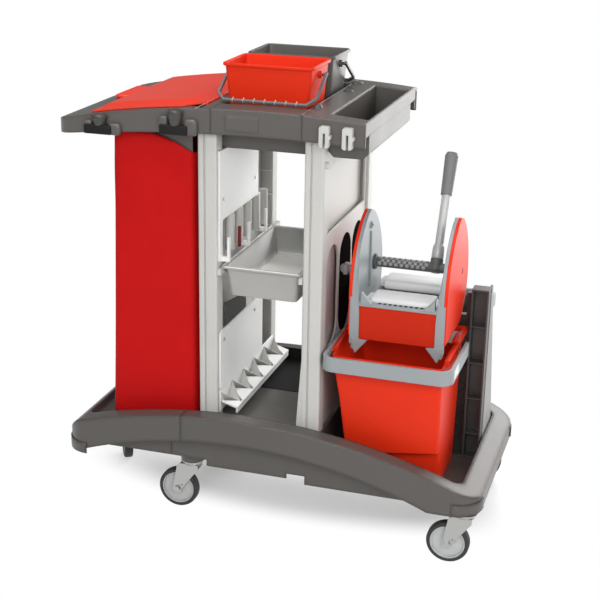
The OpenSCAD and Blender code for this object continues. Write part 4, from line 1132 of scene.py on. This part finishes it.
class CART_OT_stage(bpy.types.Operator):
    """Floor, soft light and the camera"""
    bl_idname = "cart.stage"
    bl_label = "Stage"

    def execute(self, context):
        self.floor(context.scene)
        self.world(context.scene)
        self.lights()
        context.scene.view_settings.view_transform = "Standard"
        self.camera(context.scene)
        return {"FINISHED"}

    def floor(self, scene):
        """Wide flat floor."""
        half = 30.0
        mesh = bpy.data.meshes.new("floor")
        corners = [(-half, -half, 0), (half, -half, 0), (half, half, 0), (-half, half, 0)]
        mesh.from_pydata(corners, [], [(0, 1, 2, 3)])
        mesh.materials.append(floor_material())
        floor = bpy.data.objects.new("floor", mesh)
        scene.collection.objects.link(floor)

    def world(self, scene):
        """Low even light, plain white to the camera."""
        white_light = (1, 1, 1, 1)
        scene.world = bpy.data.worlds.new("studio")
        scene.world.use_nodes = True
        tree = scene.world.node_tree
        link = tree.links.new
        back = tree.nodes["Background"]
        back.inputs["Color"].default_value = white_light
        back.inputs["Strength"].default_value = 0.22
        plain = node_of(tree, "ShaderNodeBackground", Color=white_light, Strength=1.0)
        path = tree.nodes.new("ShaderNodeLightPath")
        mix = tree.nodes.new("ShaderNodeMixShader")
        link(path.outputs["Is Camera Ray"], mix.inputs["Fac"])
        link(back.outputs["Background"], mix.inputs[1])
        link(plain.outputs["Background"], mix.inputs[2])
        link(mix.outputs["Shader"], tree.nodes["World Output"].inputs["Surface"])

    def lights(self):
        """Soft boxes in front, above and behind."""
        waist, low, front, back = (0.0, 0.0, 0.6), (0.0, 0.0, 0.55), (1.4, 1.2), (2.0, 1.6)
        area_light("right", (2.6, -0.7, 1.5), (0.1, 0.0, 0.55), (1.5, 1.5), 12)
        area_light("front_right", (1.9, -2.3, 1.9), waist, front, 28)
        area_light("front", (0.4, -2.9, 2.0), low, front, 28)
        area_light("front_left", (-1.3, -2.6, 2.0), low, front, 8)
        area_light("top", (-0.5, -0.7, 3.2), (0.0, 0.0, 0.5), (1.5, 1.5), 42)
        area_light("back_low", (1.1, 1.9, 0.6), waist, (2.2, 1.1), 13)
        area_light("back_high", (0.9, 2.5, 1.6), waist, back, 30)
        area_light("back_fill", (0.9, 2.5, 1.6), waist, back, 100, mirrored=False)

    def camera(self, scene):
        """Camera at the photograph's angle, from its azimuth, pitch and roll."""
        size = sizes()
        data = bpy.data.cameras.new("camera")
        data.sensor_width = 36.0
        data.lens = size.camera_lens
        camera = bpy.data.objects.new("camera", data)
        scene.collection.objects.link(camera)
        degrees = (size.camera_azimuth, size.camera_pitch, size.camera_roll)
        az, pitch, roll = (math.radians(angle) for angle in degrees)
        right = Vector((math.cos(az), math.sin(az), 0))
        ahead = Vector((-math.sin(az), math.cos(az), 0))
        up = Vector((0, 0, 1))
        forward = ahead * math.cos(pitch) - up * math.sin(pitch)
        down = -ahead * math.sin(pitch) - up * math.cos(pitch)
        x_axis = right * math.cos(roll) + down * math.sin(roll)
        y_axis = right * math.sin(roll) - down * math.cos(roll)
        turn = Matrix((x_axis, y_axis, -forward)).transposed()
        camera.matrix_world = Matrix.Translation(size.camera_place) @ turn.to_4x4()
        scene.camera = camera


class CART_PT_panel(bpy.types.Panel):
    """Lists the cart's operators"""
    bl_label = "Janitor cart"
    bl_idname = "CART_PT_panel"
    bl_space_type = "VIEW_3D"
    bl_region_type = "UI"
    bl_category = "Cart"

    def draw(self, context):
        for operator in OPERATORS:
            self.layout.operator(operator.bl_idname)


OPERATORS = (CART_OT_base, CART_OT_casters, CART_OT_uprights, CART_OT_top_frame, CART_OT_buckets,
             CART_OT_wringer, CART_OT_bag, CART_OT_stage)
CLASSES = (CartColours, CartSizes) + OPERATORS + (CART_PT_panel,)


def register():
    """Register the classes and the scene's settings."""
    for cls in CLASSES:
        bpy.utils.register_class(cls)
    bpy.types.Scene.cart_colours = bpy.props.PointerProperty(type=CartColours)
    bpy.types.Scene.cart_sizes = bpy.props.PointerProperty(type=CartSizes)


def unregister():
    """Take the settings and classes away again."""
    del bpy.types.Scene.cart_sizes
    del bpy.types.Scene.cart_colours
    for cls in reversed(CLASSES):
        bpy.utils.unregister_class(cls)


def main():
    """Build the cart's looks."""
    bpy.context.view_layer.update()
    register()
    bpy.ops.cart.base()
    bpy.ops.cart.casters()
    bpy.ops.cart.uprights()
    bpy.ops.cart.top_frame()
    bpy.ops.cart.buckets()
    bpy.ops.cart.wringer()
    bpy.ops.cart.bag()
    bpy.ops.cart.stage()


if __name__ == "__main__":
    main()
